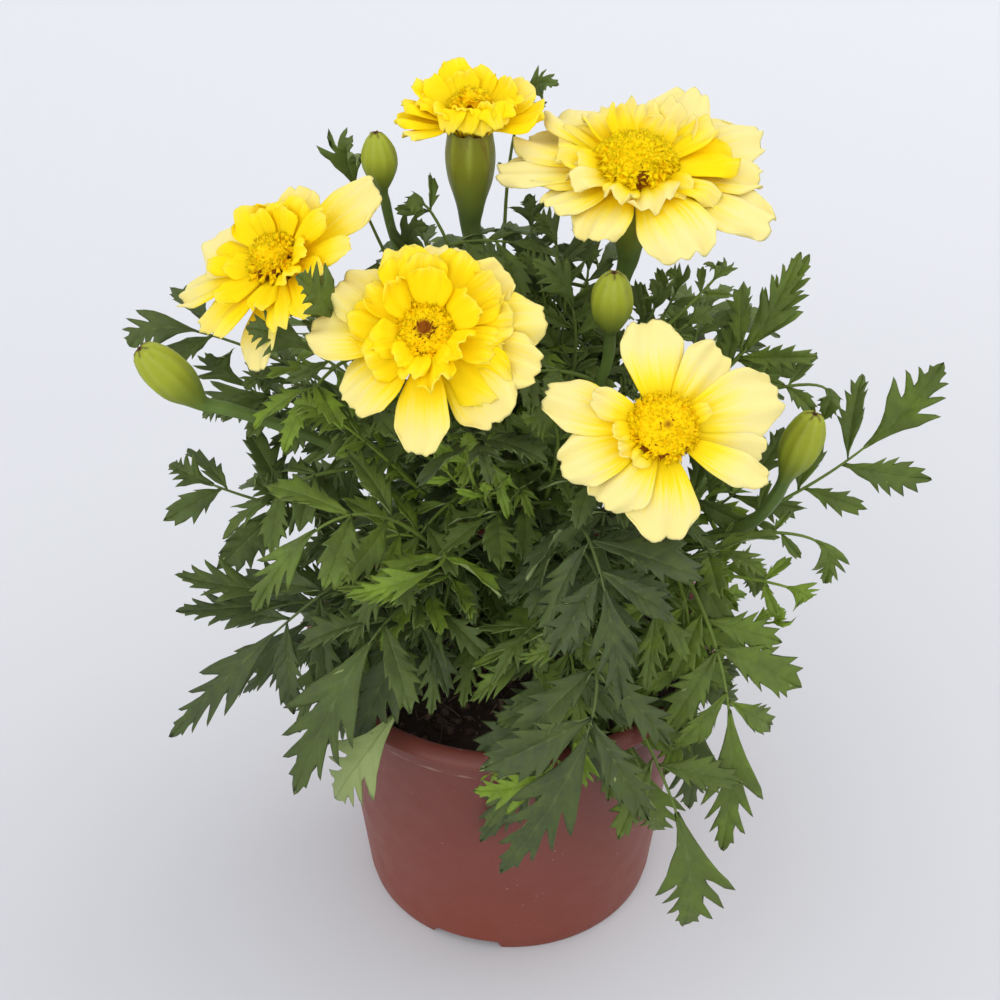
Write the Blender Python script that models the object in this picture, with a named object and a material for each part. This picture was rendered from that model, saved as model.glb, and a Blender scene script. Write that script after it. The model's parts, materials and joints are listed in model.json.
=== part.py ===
"""A potted marigold: a thin plastic nursery pot filled with soil, and a branching plant with five blooms.

Lengths are in metres, +Z is up, the pot's axis is the Z axis and the camera side of the plant is -Y.
"""

from collections import namedtuple

import bmesh
import bpy
import numpy as np

MM = 0.001
GAP = 0.35 * MM

# The pot, a pressed plastic shell 120 mm across its lip
POT_HEIGHT = 92.0 * MM
LIP_RADIUS = 60.0 * MM
LIP_EDGE_HEIGHT = 89.4 * MM
FOOT_RADIUS = 43.6 * MM
COLLAR_FOOT_HEIGHT = 79.5 * MM
COLLAR_RADIUS = 54.6 * MM
WALL_TOP_RADIUS = 52.6 * MM
WALL = 1.1 * MM
FLOOR_RAISED = 3.0 * MM
CENTRE_DISC_RADIUS = 9.0 * MM
FOOT_RING_INNER_RADIUS = 34.5 * MM
POT_SEGMENTS = 36
NOTCH_COUNT = 3
NOTCH_WIDTH = 22.0 * MM
NOTCH_HEIGHT = 3.0 * MM
NOTCH_FIRST_ANGLE = np.radians(-108.0)
HOLE_COUNT = 4
HOLE_RADIUS = 3.5 * MM
HOLE_CIRCLE_RADIUS = 22.0 * MM

# The soil, heaped a little towards the middle
SOIL_BOTTOM = 4.5 * MM
SOIL_EDGE_HEIGHT = 80.5 * MM
SOIL_MIDDLE_HEIGHT = 84.5 * MM
SOIL_RINGS = (0.2, 0.45, 0.72, 1.0)
SOIL_SEGMENTS = 26
SOIL_BUMP = 1.1 * MM

# The main stem
TRUNK_POINTS = ((0, 2, 66), (0, 2, 86), (1, 4, 106), (1, 6, 128), (0, 8, 150))
TRUNK_RADII = (4.4, 4.3, 4.1, 3.7, 3.3)
TRUNK_SIDES = 9

STEM_SHARES = (0.0, 0.25, 0.4, 0.6, 0.8, 1.0)

# Side stems, as heights on the main stem, headings and points in millimetres
Stem = namedtuple("Stem", "name height heading points radii sides head")
CALYX = ((0.0, 2.8), (7.0, 3.8), (15.0, 5.8), (21.5, 6.5), (27.0, 5.8))
BUD = ((0.0, 1.7), (2.0, 3.3), (6.0, 5.0), (10.0, 5.3), (14.0, 4.3), (17.0, 2.2))
LONG_BUD = ((0.0, 2.2), (4.0, 4.0), (9.0, 5.7), (14.0, 5.7), (19.0, 4.4), (22.5, 2.4))

STEMS = (
    Stem("stem_bloom_a", 124, (-1.0, 0.5), ((-18, 10, 142), (-36, 10, 168), (-45, 9, 186)), (2.4, 2.2), 7,
         (CALYX, 1.0, (-59.0, -3.5, 214.5))),
    Stem("stem_bloom_b", None, (0.0, 0.0), ((-1, 11, 168), (-5, 16, 188), (-9, 21, 203)), (2.9, 2.7), 7,
         (CALYX, 1.0, (-11.0, 27.5, 238.0))),
    Stem("stem_bloom_c", 131, (-0.7, -1.0), ((-9, -6, 146), (-14, -12, 166), (-17, -17, 180)), (2.4, 2.2), 7,
         (CALYX, 1.0, (-21.0, -31.0, 211.0))),
    Stem("stem_bloom_d", 139, (1.0, 0.6), ((14, 13, 158), (25, 15, 184), (30, 16, 200)), (2.5, 2.3), 7,
         (CALYX, 1.0, (32.0, 12.0, 232.0))),
    Stem("stem_bloom_e", 121, (0.8, -1.0), ((12, -7, 136), (22, -15, 154), (30, -24, 168)), (2.4, 2.2), 7,
         (CALYX, 1.0, (37.0, -45.5, 192.5))),
    Stem("stem_bud_1", 145, (-1.0, 0.4), ((-12, 12, 160), (-25, 17, 190), (-32, 20, 212)), (1.8, 1.3), 6,
         (BUD, 0.86, (-35.5, 22.0, 239.0))),
    Stem("stem_bud_2", 113, (-1.0, -0.2), ((-18, -1, 126), (-45, -7, 158), (-66, -11, 172)), (2.0, 1.7), 7,
         (LONG_BUD, 1.0, (-95.5, -17.0, 197.5))),
    Stem("stem_bud_3", 137, (0.9, -0.5), ((10, -1, 150), (20, -7, 172), (25, -11, 190)), (1.9, 1.5), 6,
         (BUD, 1.0, (26.0, -12.0, 217.0))),
    Stem("stem_bud_4", 109, (1.0, -0.1), ((18, 1, 115), (45, -6, 124), (66, -12, 138)), (2.2, 1.8), 7,
         (LONG_BUD, 0.95, (80.0, -16.0, 176.0))),
    Stem("stem_left", 99, (-1.0, -0.5), ((-15, -6, 106), (-30, -13, 118), (-42, -20, 128)), (2.1, 1.5), 6, None),
    Stem("stem_front_left", 105, (-0.5, -1.0), ((-8, -12, 116), (-16, -22, 130), (-20, -30, 146)), (2.1, 1.5), 6,
         None),
    Stem("stem_front", 95, (0.4, -1.0), ((5, -12, 103), (11, -24, 116), (15, -36, 128)), (2.1, 1.5), 6, None),
    Stem("stem_right", 98, (1.0, -0.5), ((16, -3, 104), (34, -12, 118), (48, -22, 132)), (2.1, 1.5), 6, None),
    Stem("stem_upper_right", 132, (1.0, 0.1), ((18, 6, 142), (38, 7, 158), (54, 8, 172)), (2.0, 1.4), 6, None),
    Stem("stem_back", 115, (0.1, 1.0), ((2, 24, 126), (3, 42, 146), (2, 54, 166)), (2.1, 1.4), 6, None),
    Stem("stem_back_left", 103, (-0.8, 0.9), ((-16, 20, 112), (-34, 34, 130), (-46, 42, 148)), (2.1, 1.4), 6, None),
    Stem("stem_back_right", 107, (0.8, 0.9), ((16, 22, 116), (34, 34, 134), (46, 42, 152)), (2.1, 1.4), 6, None),
)

# Leaves, with where each leaves its stem, points in millimetres and pairs of leaflets as (place, length)
Leaf = namedtuple("Leaf", "stem along mid tip face pairs split")
UPWARD = (0.0, -0.35, 1.0)
FORWARD = (0.0, -0.75, 0.65)

LEAVES = (
    Leaf("stem_front_left", 0.75, (-42, -44, 165), (-67, -58, 144), (-0.2, -0.6, 0.8), ((0.32, 24), (0.5, 25)), 0.66),
    Leaf("stem_front_left", 0.97, (-21, -52, 153), (-43, -60, 151), (0.0, -0.5, 0.9), ((0.27, 22),), 0.5),
    Leaf("stem_bud_2", 0.42, (-66, -15, 147), (-91, -18, 163), (0.1, -0.5, 0.9), ((0.45, 25), (0.68, 18)), 0.72),
    Leaf("stem_left", 0.97, (-60, -38, 125), (-95, -46, 89), (-0.3, -0.6, 0.7), ((0.32, 25), (0.5, 26)), 0.56),
    Leaf("stem_left", 0.6, (-37, -51, 129), (-59, -62, 84), (-0.2, -0.8, 0.5), ((0.41, 28),), 0.5),
    Leaf("stem_left", 0.35, (-33, -50, 101), (-47, -54, 77), (0.2, 0.5, -0.6), (), 0.5),
    Leaf("stem_bud_2", 0.3, (-40, -18, 171), (-56, -20, 182), UPWARD, ((0.5, 12),), 0.65),
    Leaf("stem_bloom_c", 0.3, (-10, -35, 169), (-11, -38, 187), FORWARD, ((0.7, 12),), 0.79),
    Leaf("stem_bloom_e", 0.5, (20, -58, 166), (28, -78, 132), FORWARD, ((0.3, 26), (0.48, 30), (0.64, 24)), 0.68),
    Leaf("stem_bud_4", 0.72, (88, -7, 152), (114, -10, 190), (0.1, -0.6, 0.8), ((0.4, 20), (0.54, 27)), 0.62),
    Leaf("stem_bud_4", 0.62, (76, -22, 142), (86, -26, 128), FORWARD, ((0.45, 9),), 0.64),
    Leaf("stem_bud_4", 0.45, (64, -25, 129), (81, -34, 128), FORWARD, ((0.4, 14), (0.56, 11)), 0.7),
    Leaf("stem_right", 0.7, (65, -27, 115), (74, -30, 122), UPWARD, ((0.55, 11),), 0.72),
    Leaf("stem_right", 0.97, (59, -48, 105), (60, -55, 54), (0.1, -0.8, 0.6), ((0.32, 20), (0.48, 22), (0.6, 17)), 0.68),
    Leaf("stem_right", 0.45, (43, -62, 84), (49, -70, 38), (0.0, -0.85, 0.4), ((0.6, 24),), 0.64),
    Leaf("stem_front", 0.95, (21, -72, 121), (-3, -78, 69), (0.0, -0.8, 0.6), ((0.36, 24), (0.52, 28)), 0.58),
    Leaf("stem_front", 0.5, (13, -64, 101), (-11, -66, 88), FORWARD, ((0.55, 13),), 0.64),
    Leaf("stem_upper_right", 0.95, (65, 8, 184), (77, 14, 209), (0.0, -0.5, 0.8), ((0.3, 20), (0.48, 24)), 0.54),
    Leaf("stem_upper_right", 0.7, (78, 0, 176), (84, -5, 168), UPWARD, ((0.45, 13),), 0.7),
    Leaf("stem_bloom_d", 0.45, (47, 2, 200), (55, 10, 207), FORWARD, ((0.6, 8),), 0.69),
    Leaf("stem_bloom_b", 0.55, (0, 42, 225), (11, 39, 247), FORWARD, ((0.65, 9),), 0.74),
    Leaf("stem_bud_1", 0.45, (-39, 27, 213), (-42, 23, 237), FORWARD, (), 0.6),
    Leaf("stem_bloom_b", 0.4, (-18, 18, 212), (-26, 16, 220), FORWARD, ((0.65, 10),), 0.74),
    Leaf("stem_bloom_c", 0.42, (-47, -27, 203), (-66, -33, 215), (0.2, -0.5, 0.9), ((0.45, 18),), 0.72),
    Leaf("stem_bloom_a", 0.6, (-79, 8, 186), (-103, 2, 187), UPWARD, ((0.5, 21),), 0.56),
    Leaf("stem_bloom_a", 0.4, (-67, 9, 165), (-82, 12, 178), UPWARD, ((0.5, 15),), 0.6),
    Leaf("stem_bloom_d", 0.25, (13, 12, 199), (6, 20, 217), FORWARD, ((0.4, 16), (0.6, 12)), 0.7),
    Leaf("stem_bud_3", 0.5, (17, -2, 195), (5, 0, 215), FORWARD, ((0.5, 15),), 0.6),
    Leaf("stem_bloom_b", 0.15, (-3, 5, 190), (-6, 12, 214), FORWARD, ((0.5, 14),), 0.6),
    Leaf("stem_bloom_e", 0.25, (12, -30, 179), (2, -40, 192), FORWARD, ((0.5, 15),), 0.6),
    Leaf("stem_bloom_c", 0.5, (-7, -25, 172), (-1, -36, 158), FORWARD, ((0.5, 14),), 0.68),
    Leaf("stem_bloom_a", 0.3, (-38, -5, 168), (-57, -8, 178), UPWARD, ((0.5, 18),), 0.6),
    Leaf("stem_front_left", 0.5, (-25, -36, 130), (-37, -44, 142), UPWARD, ((0.5, 15),), 0.6),
    Leaf("stem_front", 0.4, (5, -45, 120), (-13, -52, 109), UPWARD, ((0.5, 18),), 0.6),
    Leaf("stem_front", 0.7, (14, -58, 135), (2, -62, 132), UPWARD, ((0.35, 15),), 0.6),
)

# More leaves, as a place along a stem, a turn and a rise in degrees and a reach in millimetres
Filler = namedtuple("Filler", "stem along turn rise reach")
FILLERS = (
    Filler("stem_front_left", 0.75, -100, -30, 40),
    Filler("stem_front_left", 0.45, -100, -10, 40),
    Filler("stem_left", 0.9, -100, -30, 40),
    Filler("stem_front", 0.9, -80, -30, 40),
    Filler("stem_right", 0.9, -100, -10, 40),
    Filler("stem_bud_4", 0.9, -120, -30, 40),
    Filler("stem_bloom_e", 0.9, -100, -30, 40),
    Filler("stem_back_left", 0.75, -140, -10, 50),
    Filler("stem_back_left", 0.95, 120, 10, 50),
    Filler("stem_back_left", 0.5, 60, -5, 44),
    Filler("stem_back", 0.95, 130, 20, 44),
    Filler("stem_back", 0.85, 50, 10, 44),
    Filler("stem_back", 0.55, 95, -15, 44),
    Filler("stem_back_right", 0.95, 60, 15, 50),
    Filler("stem_back_right", 0.75, 0, -5, 44),
    Filler("stem_back_right", 0.5, -10, -25, 40),
)

LEAF_THICKNESS = 0.8 * MM
RIB_HALF_WIDTH = 0.75 * MM
LEAFLET_BASE_HALF = 1.5 * MM
LEAFLET_BASE_SHARE = 0.035
SMALL_END_LEAFLET = 17.0 * MM
PLAIN_LEAFLET = 14.5 * MM
LONG_STALK = 22.0 * MM
LARGE_FILLER = 42.0
LEAFLET_WIDTH_RATIO = 0.36
LEAFLET_ANGLE = np.radians(52.0)
LEAFLET_DROOP = 0.22
LEAFLET_TEETH = (((0.62, 0.50), (0.58, 0.25)),)
TERMINAL_TEETH = (((0.56, 0.29), (0.44, 0.12)), ((0.82, 0.15), (0.74, 0.08)))

# Blooms, with petals as (turn in degrees, length in millimetres)
Bloom = namedtuple("Bloom", "name normal petals width inner inner_length crest_radius")
BLOOMS = (
    Bloom("bloom_a", (-0.45, -0.50, 0.74),
          ((156, 25), (-156, 28), (108, 21), (68, 21), (30, 31), (-2, 23), (-40, 20), (-83, 30), (-122, 22)),
          15.0, 5, 16.0, 10.5),
    Bloom("bloom_b", (0.0, 0.12, 0.99),
          ((178, 21), (-143, 19), (-108, 16), (-78, 16), (-38, 18), (2, 20), (45, 21), (82, 20), (125, 20)),
          11.0, 4, 12.0, 7.5),
    Bloom("bloom_c", (-0.10, -0.62, 0.78),
          ((-93, 32), (-137, 27), (-170, 30), (155, 26), (116, 23), (82, 23), (48, 25), (15, 30), (-18, 31), (-54, 29)),
          16.0, 5, 17.0, 11.0),
    Bloom("bloom_d", (0.03, -0.14, 0.99),
          ((-178, 35), (149, 32), (115, 29), (85, 27), (55, 32), (22, 37), (-13, 31), (-42, 39), (-74, 35),
           (-108, 28), (-146, 29)),
          17.0, 6, 19.0, 13.0),
    Bloom("bloom_e", (0.16, -0.67, 0.72),
          ((100, 27), (54, 27), (10, 33), (-32, 29), (-84, 31), (-128, 27), (-160, 30), (164, 31)),
          19.0, 4, 15.0, 10.0),
)
PETAL_THICKNESS = 0.8 * MM
PETAL_ROOT = 3.6 * MM
PETAL_ROOT_HALF = 1.0 * MM
PETAL_ROLL = np.radians(13.0)
PETAL_DROOP_REACH = 27.0 * MM
CORE_RADIUS = 5.4 * MM
CORE_HEIGHT = 3.6 * MM
CORE_SIDES = 10
CREST_SIDES = 8
CREST_RINGS = ((7, 64.0, 10.0), (4, 28.0, 30.0))
FLORET_HALF_SHARE = 0.17

Colour = namedtuple("Colour", "red green blue roughness")
POT_COLOUR = Colour(0.24, 0.065, 0.05, 0.42)
SOIL_COLOUR = Colour(0.022, 0.014, 0.01, 0.95)
STEM_COLOUR = Colour(0.10, 0.20, 0.035, 0.6)
LEAF_COLOUR = Colour(0.07, 0.16, 0.03, 0.6)
PETAL_COLOUR = Colour(0.93, 0.80, 0.10, 0.55)
CREST_COLOUR = Colour(0.92, 0.60, 0.01, 0.6)


def clear_scene():
    """Removes the scene's starting objects."""
    for obj in list(bpy.data.objects):
        bpy.data.objects.remove(obj, do_unlink=True)


def mm(points):
    """Points given in millimetres, as an array in metres."""
    return np.array(points, float) * MM


def unit(vector):
    """The vector scaled to length one."""
    vector = np.asarray(vector, float)
    return vector / np.linalg.norm(vector)


def principled(name, colour):
    """A plain material of one colour."""
    material = bpy.data.materials.new(name)
    material.use_nodes = True
    shader = material.node_tree.nodes["Principled BSDF"]
    shader.inputs["Base Color"].default_value = (colour.red, colour.green, colour.blue, 1.0)
    shader.inputs["Roughness"].default_value = colour.roughness
    material.diffuse_color = (colour.red, colour.green, colour.blue, 1.0)
    return material


def add_solid(name, points, faces):
    """A mesh object from points and faces, with its faces turned outward."""
    mesh = bpy.data.meshes.new(name)
    mesh.from_pydata([tuple(point) for point in points], [], [tuple(face) for face in faces])
    work = bmesh.new()
    work.from_mesh(mesh)
    bmesh.ops.triangulate(work, faces=work.faces[:])
    bmesh.ops.recalc_face_normals(work, faces=work.faces[:])
    work.to_mesh(mesh)
    work.free()
    obj = bpy.data.objects.new(name, mesh)
    bpy.context.scene.collection.objects.link(obj)
    return obj


def apply_modifiers(obj):
    """Replaces the object's mesh by what its modifiers make of it."""
    bpy.context.view_layer.update()
    graph = bpy.context.evaluated_depsgraph_get()
    mesh = bpy.data.meshes.new_from_object(obj.evaluated_get(graph))
    obj.modifiers.clear()
    obj.data = mesh


def remove_object(obj):
    """Removes one object from the file."""
    bpy.data.objects.remove(obj, do_unlink=True)


def boolean(obj, tools, operation):
    """One applied Boolean of the object with a collection of tools, which are then removed."""
    group = bpy.data.collections.new("tools")
    bpy.context.scene.collection.children.link(group)
    for tool in tools:
        group.objects.link(tool)
        tool.hide_render = True
        tool.display_type = "WIRE"
    modifier = obj.modifiers.new("join", "BOOLEAN")
    modifier.operation = operation
    modifier.solver = "EXACT"
    modifier.operand_type = "COLLECTION"
    modifier.collection = group
    apply_modifiers(obj)
    for tool in tools:
        remove_object(tool)
    bpy.data.collections.remove(group)


def shells(work):
    """The connected groups of faces of a bmesh."""
    unseen = set(work.faces)
    groups = []
    while unseen:
        stack = [unseen.pop()]
        group = list(stack)
        while stack:
            face = stack.pop()
            for edge in face.edges:
                for other in edge.link_faces:
                    if other in unseen:
                        unseen.remove(other)
                        stack.append(other)
                        group.append(other)
        groups.append(group)
    return groups


def group_volume(group):
    """The signed volume inside a group of triangles."""
    corners = np.array([[vertex.co for vertex in face.verts] for face in group])
    return np.linalg.det(corners).sum() / 6.0


def keep_main_shell(obj):
    """Triangulates the object and drops loose scraps and sealed hollows."""
    work = bmesh.new()
    work.from_mesh(obj.data)
    bmesh.ops.triangulate(work, faces=work.faces[:])
    bmesh.ops.remove_doubles(work, verts=work.verts[:], dist=0.002 * MM)
    bmesh.ops.dissolve_degenerate(work, edges=work.edges[:], dist=0.002 * MM)
    bmesh.ops.triangulate(work, faces=work.faces[:])
    groups = sorted(shells(work), key=group_volume)
    scraps = [face for group in groups[:-1] for face in group]
    bmesh.ops.delete(work, geom=scraps, context="FACES")
    work.to_mesh(obj.data)
    work.free()


def finish_node(obj, name, colour):
    """Names the node and gives it its material."""
    obj.name = name
    obj.data.name = name
    obj.data.materials.clear()
    obj.data.materials.append(principled(name, colour))


def revolve(profile, segments):
    """Points and faces of a closed profile of (radius, height) turned about the Z axis."""
    points = []
    rings = []
    turns = np.arange(segments) * 2.0 * np.pi / segments
    for radius, height in profile:
        if radius < 1e-9:
            rings.append([len(points)] * segments)
            points.append((0.0, 0.0, height))
        else:
            rings.append(list(range(len(points), len(points) + segments)))
            points.extend((radius * np.cos(turn), radius * np.sin(turn), height) for turn in turns)
    faces = []
    for first, second in zip(rings[:-1], rings[1:]):
        for k in range(segments):
            after = (k + 1) % segments
            corners = (first[k], first[after], second[after], second[k])
            faces.append(tuple(dict.fromkeys(corners)))
    return points, faces


def wall_radius(height):
    """The outer radius of the pot's plain wall at a height."""
    return FOOT_RADIUS + (WALL_TOP_RADIUS - FOOT_RADIUS) * height / COLLAR_FOOT_HEIGHT


def pot_profile():
    """The pot's section from the middle of its underside, up the outside and down the inside."""
    outer_top = wall_radius(COLLAR_FOOT_HEIGHT)
    lip_root = COLLAR_RADIUS + 0.8 * MM
    return (
        (0.0, 0.0),
        (CENTRE_DISC_RADIUS, 0.0),
        (CENTRE_DISC_RADIUS + 1.5 * MM, FLOOR_RAISED),
        (FOOT_RING_INNER_RADIUS - 1.5 * MM, FLOOR_RAISED),
        (FOOT_RING_INNER_RADIUS, 0.0),
        (FOOT_RADIUS, 0.0),
        (outer_top, COLLAR_FOOT_HEIGHT),
        (COLLAR_RADIUS, COLLAR_FOOT_HEIGHT + 1.0 * MM),
        (lip_root, POT_HEIGHT - 4.2 * MM),
        (LIP_RADIUS - 0.4 * MM, LIP_EDGE_HEIGHT - 1.2 * MM),
        (LIP_RADIUS, LIP_EDGE_HEIGHT),
        (LIP_RADIUS - 3.0 * MM, POT_HEIGHT),
        (lip_root - WALL + 0.2 * MM, POT_HEIGHT - 0.8 * MM),
        (COLLAR_RADIUS - WALL, COLLAR_FOOT_HEIGHT + 1.6 * MM),
        (outer_top - WALL, COLLAR_FOOT_HEIGHT + 0.6 * MM),
        (wall_radius(0.0) - WALL + 0.6 * MM, FLOOR_RAISED + WALL + 1.2 * MM),
        (FOOT_RADIUS - 1.9 * MM, WALL),
        (FOOT_RING_INNER_RADIUS + 0.7 * MM, WALL),
        (FOOT_RING_INNER_RADIUS - 1.0 * MM, FLOOR_RAISED + WALL),
        (CENTRE_DISC_RADIUS + 1.0 * MM, FLOOR_RAISED + WALL),
        (CENTRE_DISC_RADIUS - 0.8 * MM, WALL),
        (0.0, WALL),
    )


def box_points(centre, half):
    """Points and faces of an upright box about a centre, in its own axes."""
    signs = [(x, y, z) for x in (-1, 1) for y in (-1, 1) for z in (-1, 1)]
    points = [np.array(centre) + np.array(sign) * np.array(half) for sign in signs]
    faces = ((0, 1, 3, 2), (4, 6, 7, 5), (0, 4, 5, 1), (2, 3, 7, 6), (0, 2, 6, 4), (1, 5, 7, 3))
    return np.array(points), faces


def turned(points, angle):
    """The points turned about the Z axis."""
    cosine, sine = np.cos(angle), np.sin(angle)
    return np.asarray(points) @ np.array(((cosine, sine, 0.0), (-sine, cosine, 0.0), (0.0, 0.0, 1.0)))


def make_pot():
    """The pot: a pressed shell with a rolled lip, drainage notches in its foot and holes in its floor."""
    pot = add_solid("pot", *revolve(pot_profile(), POT_SEGMENTS))
    cutters = []
    for k in range(NOTCH_COUNT):
        centre = (FOOT_RADIUS, 0.0, 0.0)
        half = (3.4 * MM, NOTCH_WIDTH / 2.0, NOTCH_HEIGHT)
        points, faces = box_points(centre, half)
        points[:, 1] *= np.where(points[:, 2] > 0.0, 0.72, 1.0)
        angle = NOTCH_FIRST_ANGLE + k * 2.0 * np.pi / NOTCH_COUNT
        cutters.append(add_solid("notch", turned(points, angle), faces))
    for k in range(HOLE_COUNT):
        profile = ((0.0, -MM), (HOLE_RADIUS, -MM), (HOLE_RADIUS, 6.0 * MM), (0.0, 6.0 * MM))
        points, faces = revolve(profile, 8)
        angle = np.pi / HOLE_COUNT + k * 2.0 * np.pi / HOLE_COUNT
        points = turned(np.array(points) + (HOLE_CIRCLE_RADIUS, 0.0, 0.0), angle)
        cutters.append(add_solid("hole", points, faces))
    boolean(pot, cutters, "DIFFERENCE")
    keep_main_shell(pot)
    finish_node(pot, "pot", POT_COLOUR)


def soil_height(x, y):
    """The height of the soil's surface, a low heap with soft bumps."""
    radius = np.hypot(x, y) / WALL_TOP_RADIUS
    heap = SOIL_EDGE_HEIGHT + (SOIL_MIDDLE_HEIGHT - SOIL_EDGE_HEIGHT) * np.clip(1.0 - radius**2, 0.0, 1.0)
    waves = np.sin(x / (5.3 * MM) + 1.0) * np.cos(y / (6.1 * MM)) + 0.6 * np.sin((x + 2.0 * y) / (7.7 * MM))
    return heap + SOIL_BUMP * waves * 0.6


def make_soil():
    """The soil, which fills the pot and has a plain hole for the main stem."""
    edge = WALL_TOP_RADIUS - WALL - 1.0 * MM
    bottom = wall_radius(SOIL_BOTTOM) - WALL - 0.6 * MM
    profile = [(0.0, SOIL_BOTTOM), (bottom, SOIL_BOTTOM)]
    profile.append((wall_radius(0.072) - WALL - GAP, 72.0 * MM))
    profile.extend((edge * ring, 0.0) for ring in reversed(SOIL_RINGS))
    profile.append((0.0, 0.0))
    points, faces = revolve(profile, SOIL_SEGMENTS)
    points = np.array(points)
    top = np.abs(points[:, 2]) < 1e-9
    points[top, 2] = soil_height(points[top, 0], points[top, 1])
    soil = add_solid("soil", points, faces)
    x, y, z = TRUNK_POINTS[0]
    hole_radius = (TRUNK_RADII[0] + 0.7) * MM
    profile = ((0.0, z * MM - GAP), (hole_radius, z * MM - GAP), (hole_radius, 0.1), (0.0, 0.1))
    points, faces = revolve(profile, 14)
    hole = add_solid("stem_hole", np.array(points) + (x * MM, y * MM, 0.0), faces)
    boolean(soil, [hole], "DIFFERENCE")
    keep_main_shell(soil)
    finish_node(soil, "soil", SOIL_COLOUR)


def smooth_path(points, shares):
    """A Catmull-Rom curve through the points, sampled at shares of its length."""
    points = np.asarray(points, float)
    ends = np.vstack((2.0 * points[0] - points[1], points, 2.0 * points[-1] - points[-2]))
    places = np.array(shares) * (len(points) - 1.0)
    index = np.minimum(places.astype(int), len(points) - 2)
    t = (places - index)[:, None]
    a, b, c, d = (ends[index + k] for k in range(4))
    return 0.5 * (2.0 * b + (c - a) * t + (2.0 * a - 5.0 * b + 4.0 * c - d) * t**2 + (3.0 * b - a - 3.0 * c + d) * t**3)


def tube(path, radii, sides, start=None):
    """Points and faces of a closed tube with a radius at each point of its path and a set first direction."""
    path = np.asarray(path, float)
    tangents = np.gradient(path, axis=0)
    if start is not None:
        tangents[0] = start
    side = unit(np.cross(tangents[0], (0.31, 0.17, 0.94) if abs(unit(tangents[0])[2]) < 0.9 else (1.0, 0.2, 0.0)))
    points = []
    turns = np.arange(sides) * 2.0 * np.pi / sides
    for place, tangent, radius in zip(path, tangents, radii):
        tangent = unit(tangent)
        side = unit(side - tangent * np.dot(side, tangent))
        other = np.cross(tangent, side)
        points.extend(place + radius * (np.cos(turn) * side + np.sin(turn) * other) for turn in turns)
    faces = [tuple(range(sides)), tuple(range(len(points) - sides, len(points)))]
    for ring in range(len(path) - 1):
        for k in range(sides):
            after = (k + 1) % sides
            low = ring * sides
            faces.append((low + k, low + after, low + sides + after, low + sides + k))
    return points, faces


def trunk_at(height):
    """The main stem's centre and radius at a height in millimetres."""
    heights = [point[2] for point in TRUNK_POINTS]
    centre = [np.interp(height, heights, [point[k] for point in TRUNK_POINTS]) for k in range(3)]
    return np.array(centre), np.interp(height, heights, TRUNK_RADII)


def stem_path(stem):
    """The path of a side stem in millimetres, from just off the main stem to its head or end."""
    if stem.height is None:
        start = np.array(TRUNK_POINTS[-1], float) + (0.0, 0.0, GAP / MM)
        first = [start, start + (0.0, 0.3, 4.0)]
    else:
        centre, radius = trunk_at(stem.height)
        heading = unit((*stem.heading, 0.0))
        start = centre + heading * (radius + GAP / MM)
        first = [start, start + heading * 2.5 + (0.0, 0.0, 0.7)]
    return smooth_path(first + [np.array(point, float) for point in stem.points], STEM_SHARES)


def head_axis(stem, path):
    """The place of each ring of a stem's calyx or bud, and the ring radii, in millimetres."""
    profile, scale, top = stem.head
    heights = np.array([ring[0] for ring in profile]) * scale
    radii = np.array([ring[1] for ring in profile]) * scale
    top = np.array(top, float)
    start = path[-1]
    leave = unit(path[-1] - path[-2])
    arrive = unit(head_normal(stem))
    share = (heights / heights[-1])[:, None]
    foot = top - arrive * heights[-1]
    control = top - arrive * heights[-1] * 0.6
    first = (1.0 - share) ** 2 * foot + 2.0 * share * (1.0 - share) * control + share**2 * top
    reach = np.linalg.norm(foot - start)
    bridge = start + leave * reach * 0.5
    return bridge, first, radii


def head_normal(stem):
    """Which way a calyx or bud points."""
    for bloom in BLOOMS:
        if stem.name.endswith(bloom.name):
            return bloom.normal
    top = np.array(stem.head[2], float)
    return unit(top - np.array(stem.points[-1], float)) + np.array((0.0, 0.0, 0.35))


def first_direction(stem):
    """The direction in which a side stem leaves the main stem."""
    return (0.0, 0.0, 1.0) if stem.height is None else unit((*stem.heading, 0.0))


def stem_parts(stem):
    """The whole path of a stem with its head, and the radius at each place, in millimetres."""
    path = stem_path(stem)
    radii = np.linspace(stem.radii[0], stem.radii[1], len(path))
    if stem.head is None:
        return path, radii
    bridge, rings, ring_radii = head_axis(stem, path)
    path = np.vstack((path, bridge, rings))
    radii = np.concatenate((radii, [(radii[-1] + ring_radii[0]) / 2.0], ring_radii))
    return path, radii


def leaf_curve(base, mid, tip):
    """A function that gives a leaf rib's place and direction at a share of its length."""
    control = 2.0 * mid - (base + tip) / 2.0

    def at(share):
        place = (1.0 - share) ** 2 * base + 2.0 * share * (1.0 - share) * control + share**2 * tip
        direction = 2.0 * (1.0 - share) * (control - base) + 2.0 * share * (tip - control)
        return place, unit(direction)

    return at


def blade(points, normals, triangles, thickness):
    """A closed thin solid on both sides of a surface, with walls along the surface's open edges."""
    points = np.array(points)
    normals = np.array(normals)
    triangles = [list(triangle) for triangle in triangles]
    for triangle in triangles:
        a, b, c = points[triangle]
        if np.dot(np.cross(b - a, c - a), normals[triangle].sum(axis=0)) < 0.0:
            triangle.reverse()
    count = len(points)
    shell = np.vstack((points + normals * thickness / 2.0, points - normals * thickness / 2.0))
    faces = [tuple(triangle) for triangle in triangles]
    faces += [tuple(corner + count for corner in reversed(triangle)) for triangle in triangles]
    edges = set()
    for a, b, c in triangles:
        edges.update(((a, b), (b, c), (c, a)))
    for a, b in sorted(edges):
        if (b, a) not in edges:
            faces.append((a, a + count, b + count))
            faces.append((a, b + count, b))
    return shell, faces


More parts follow.
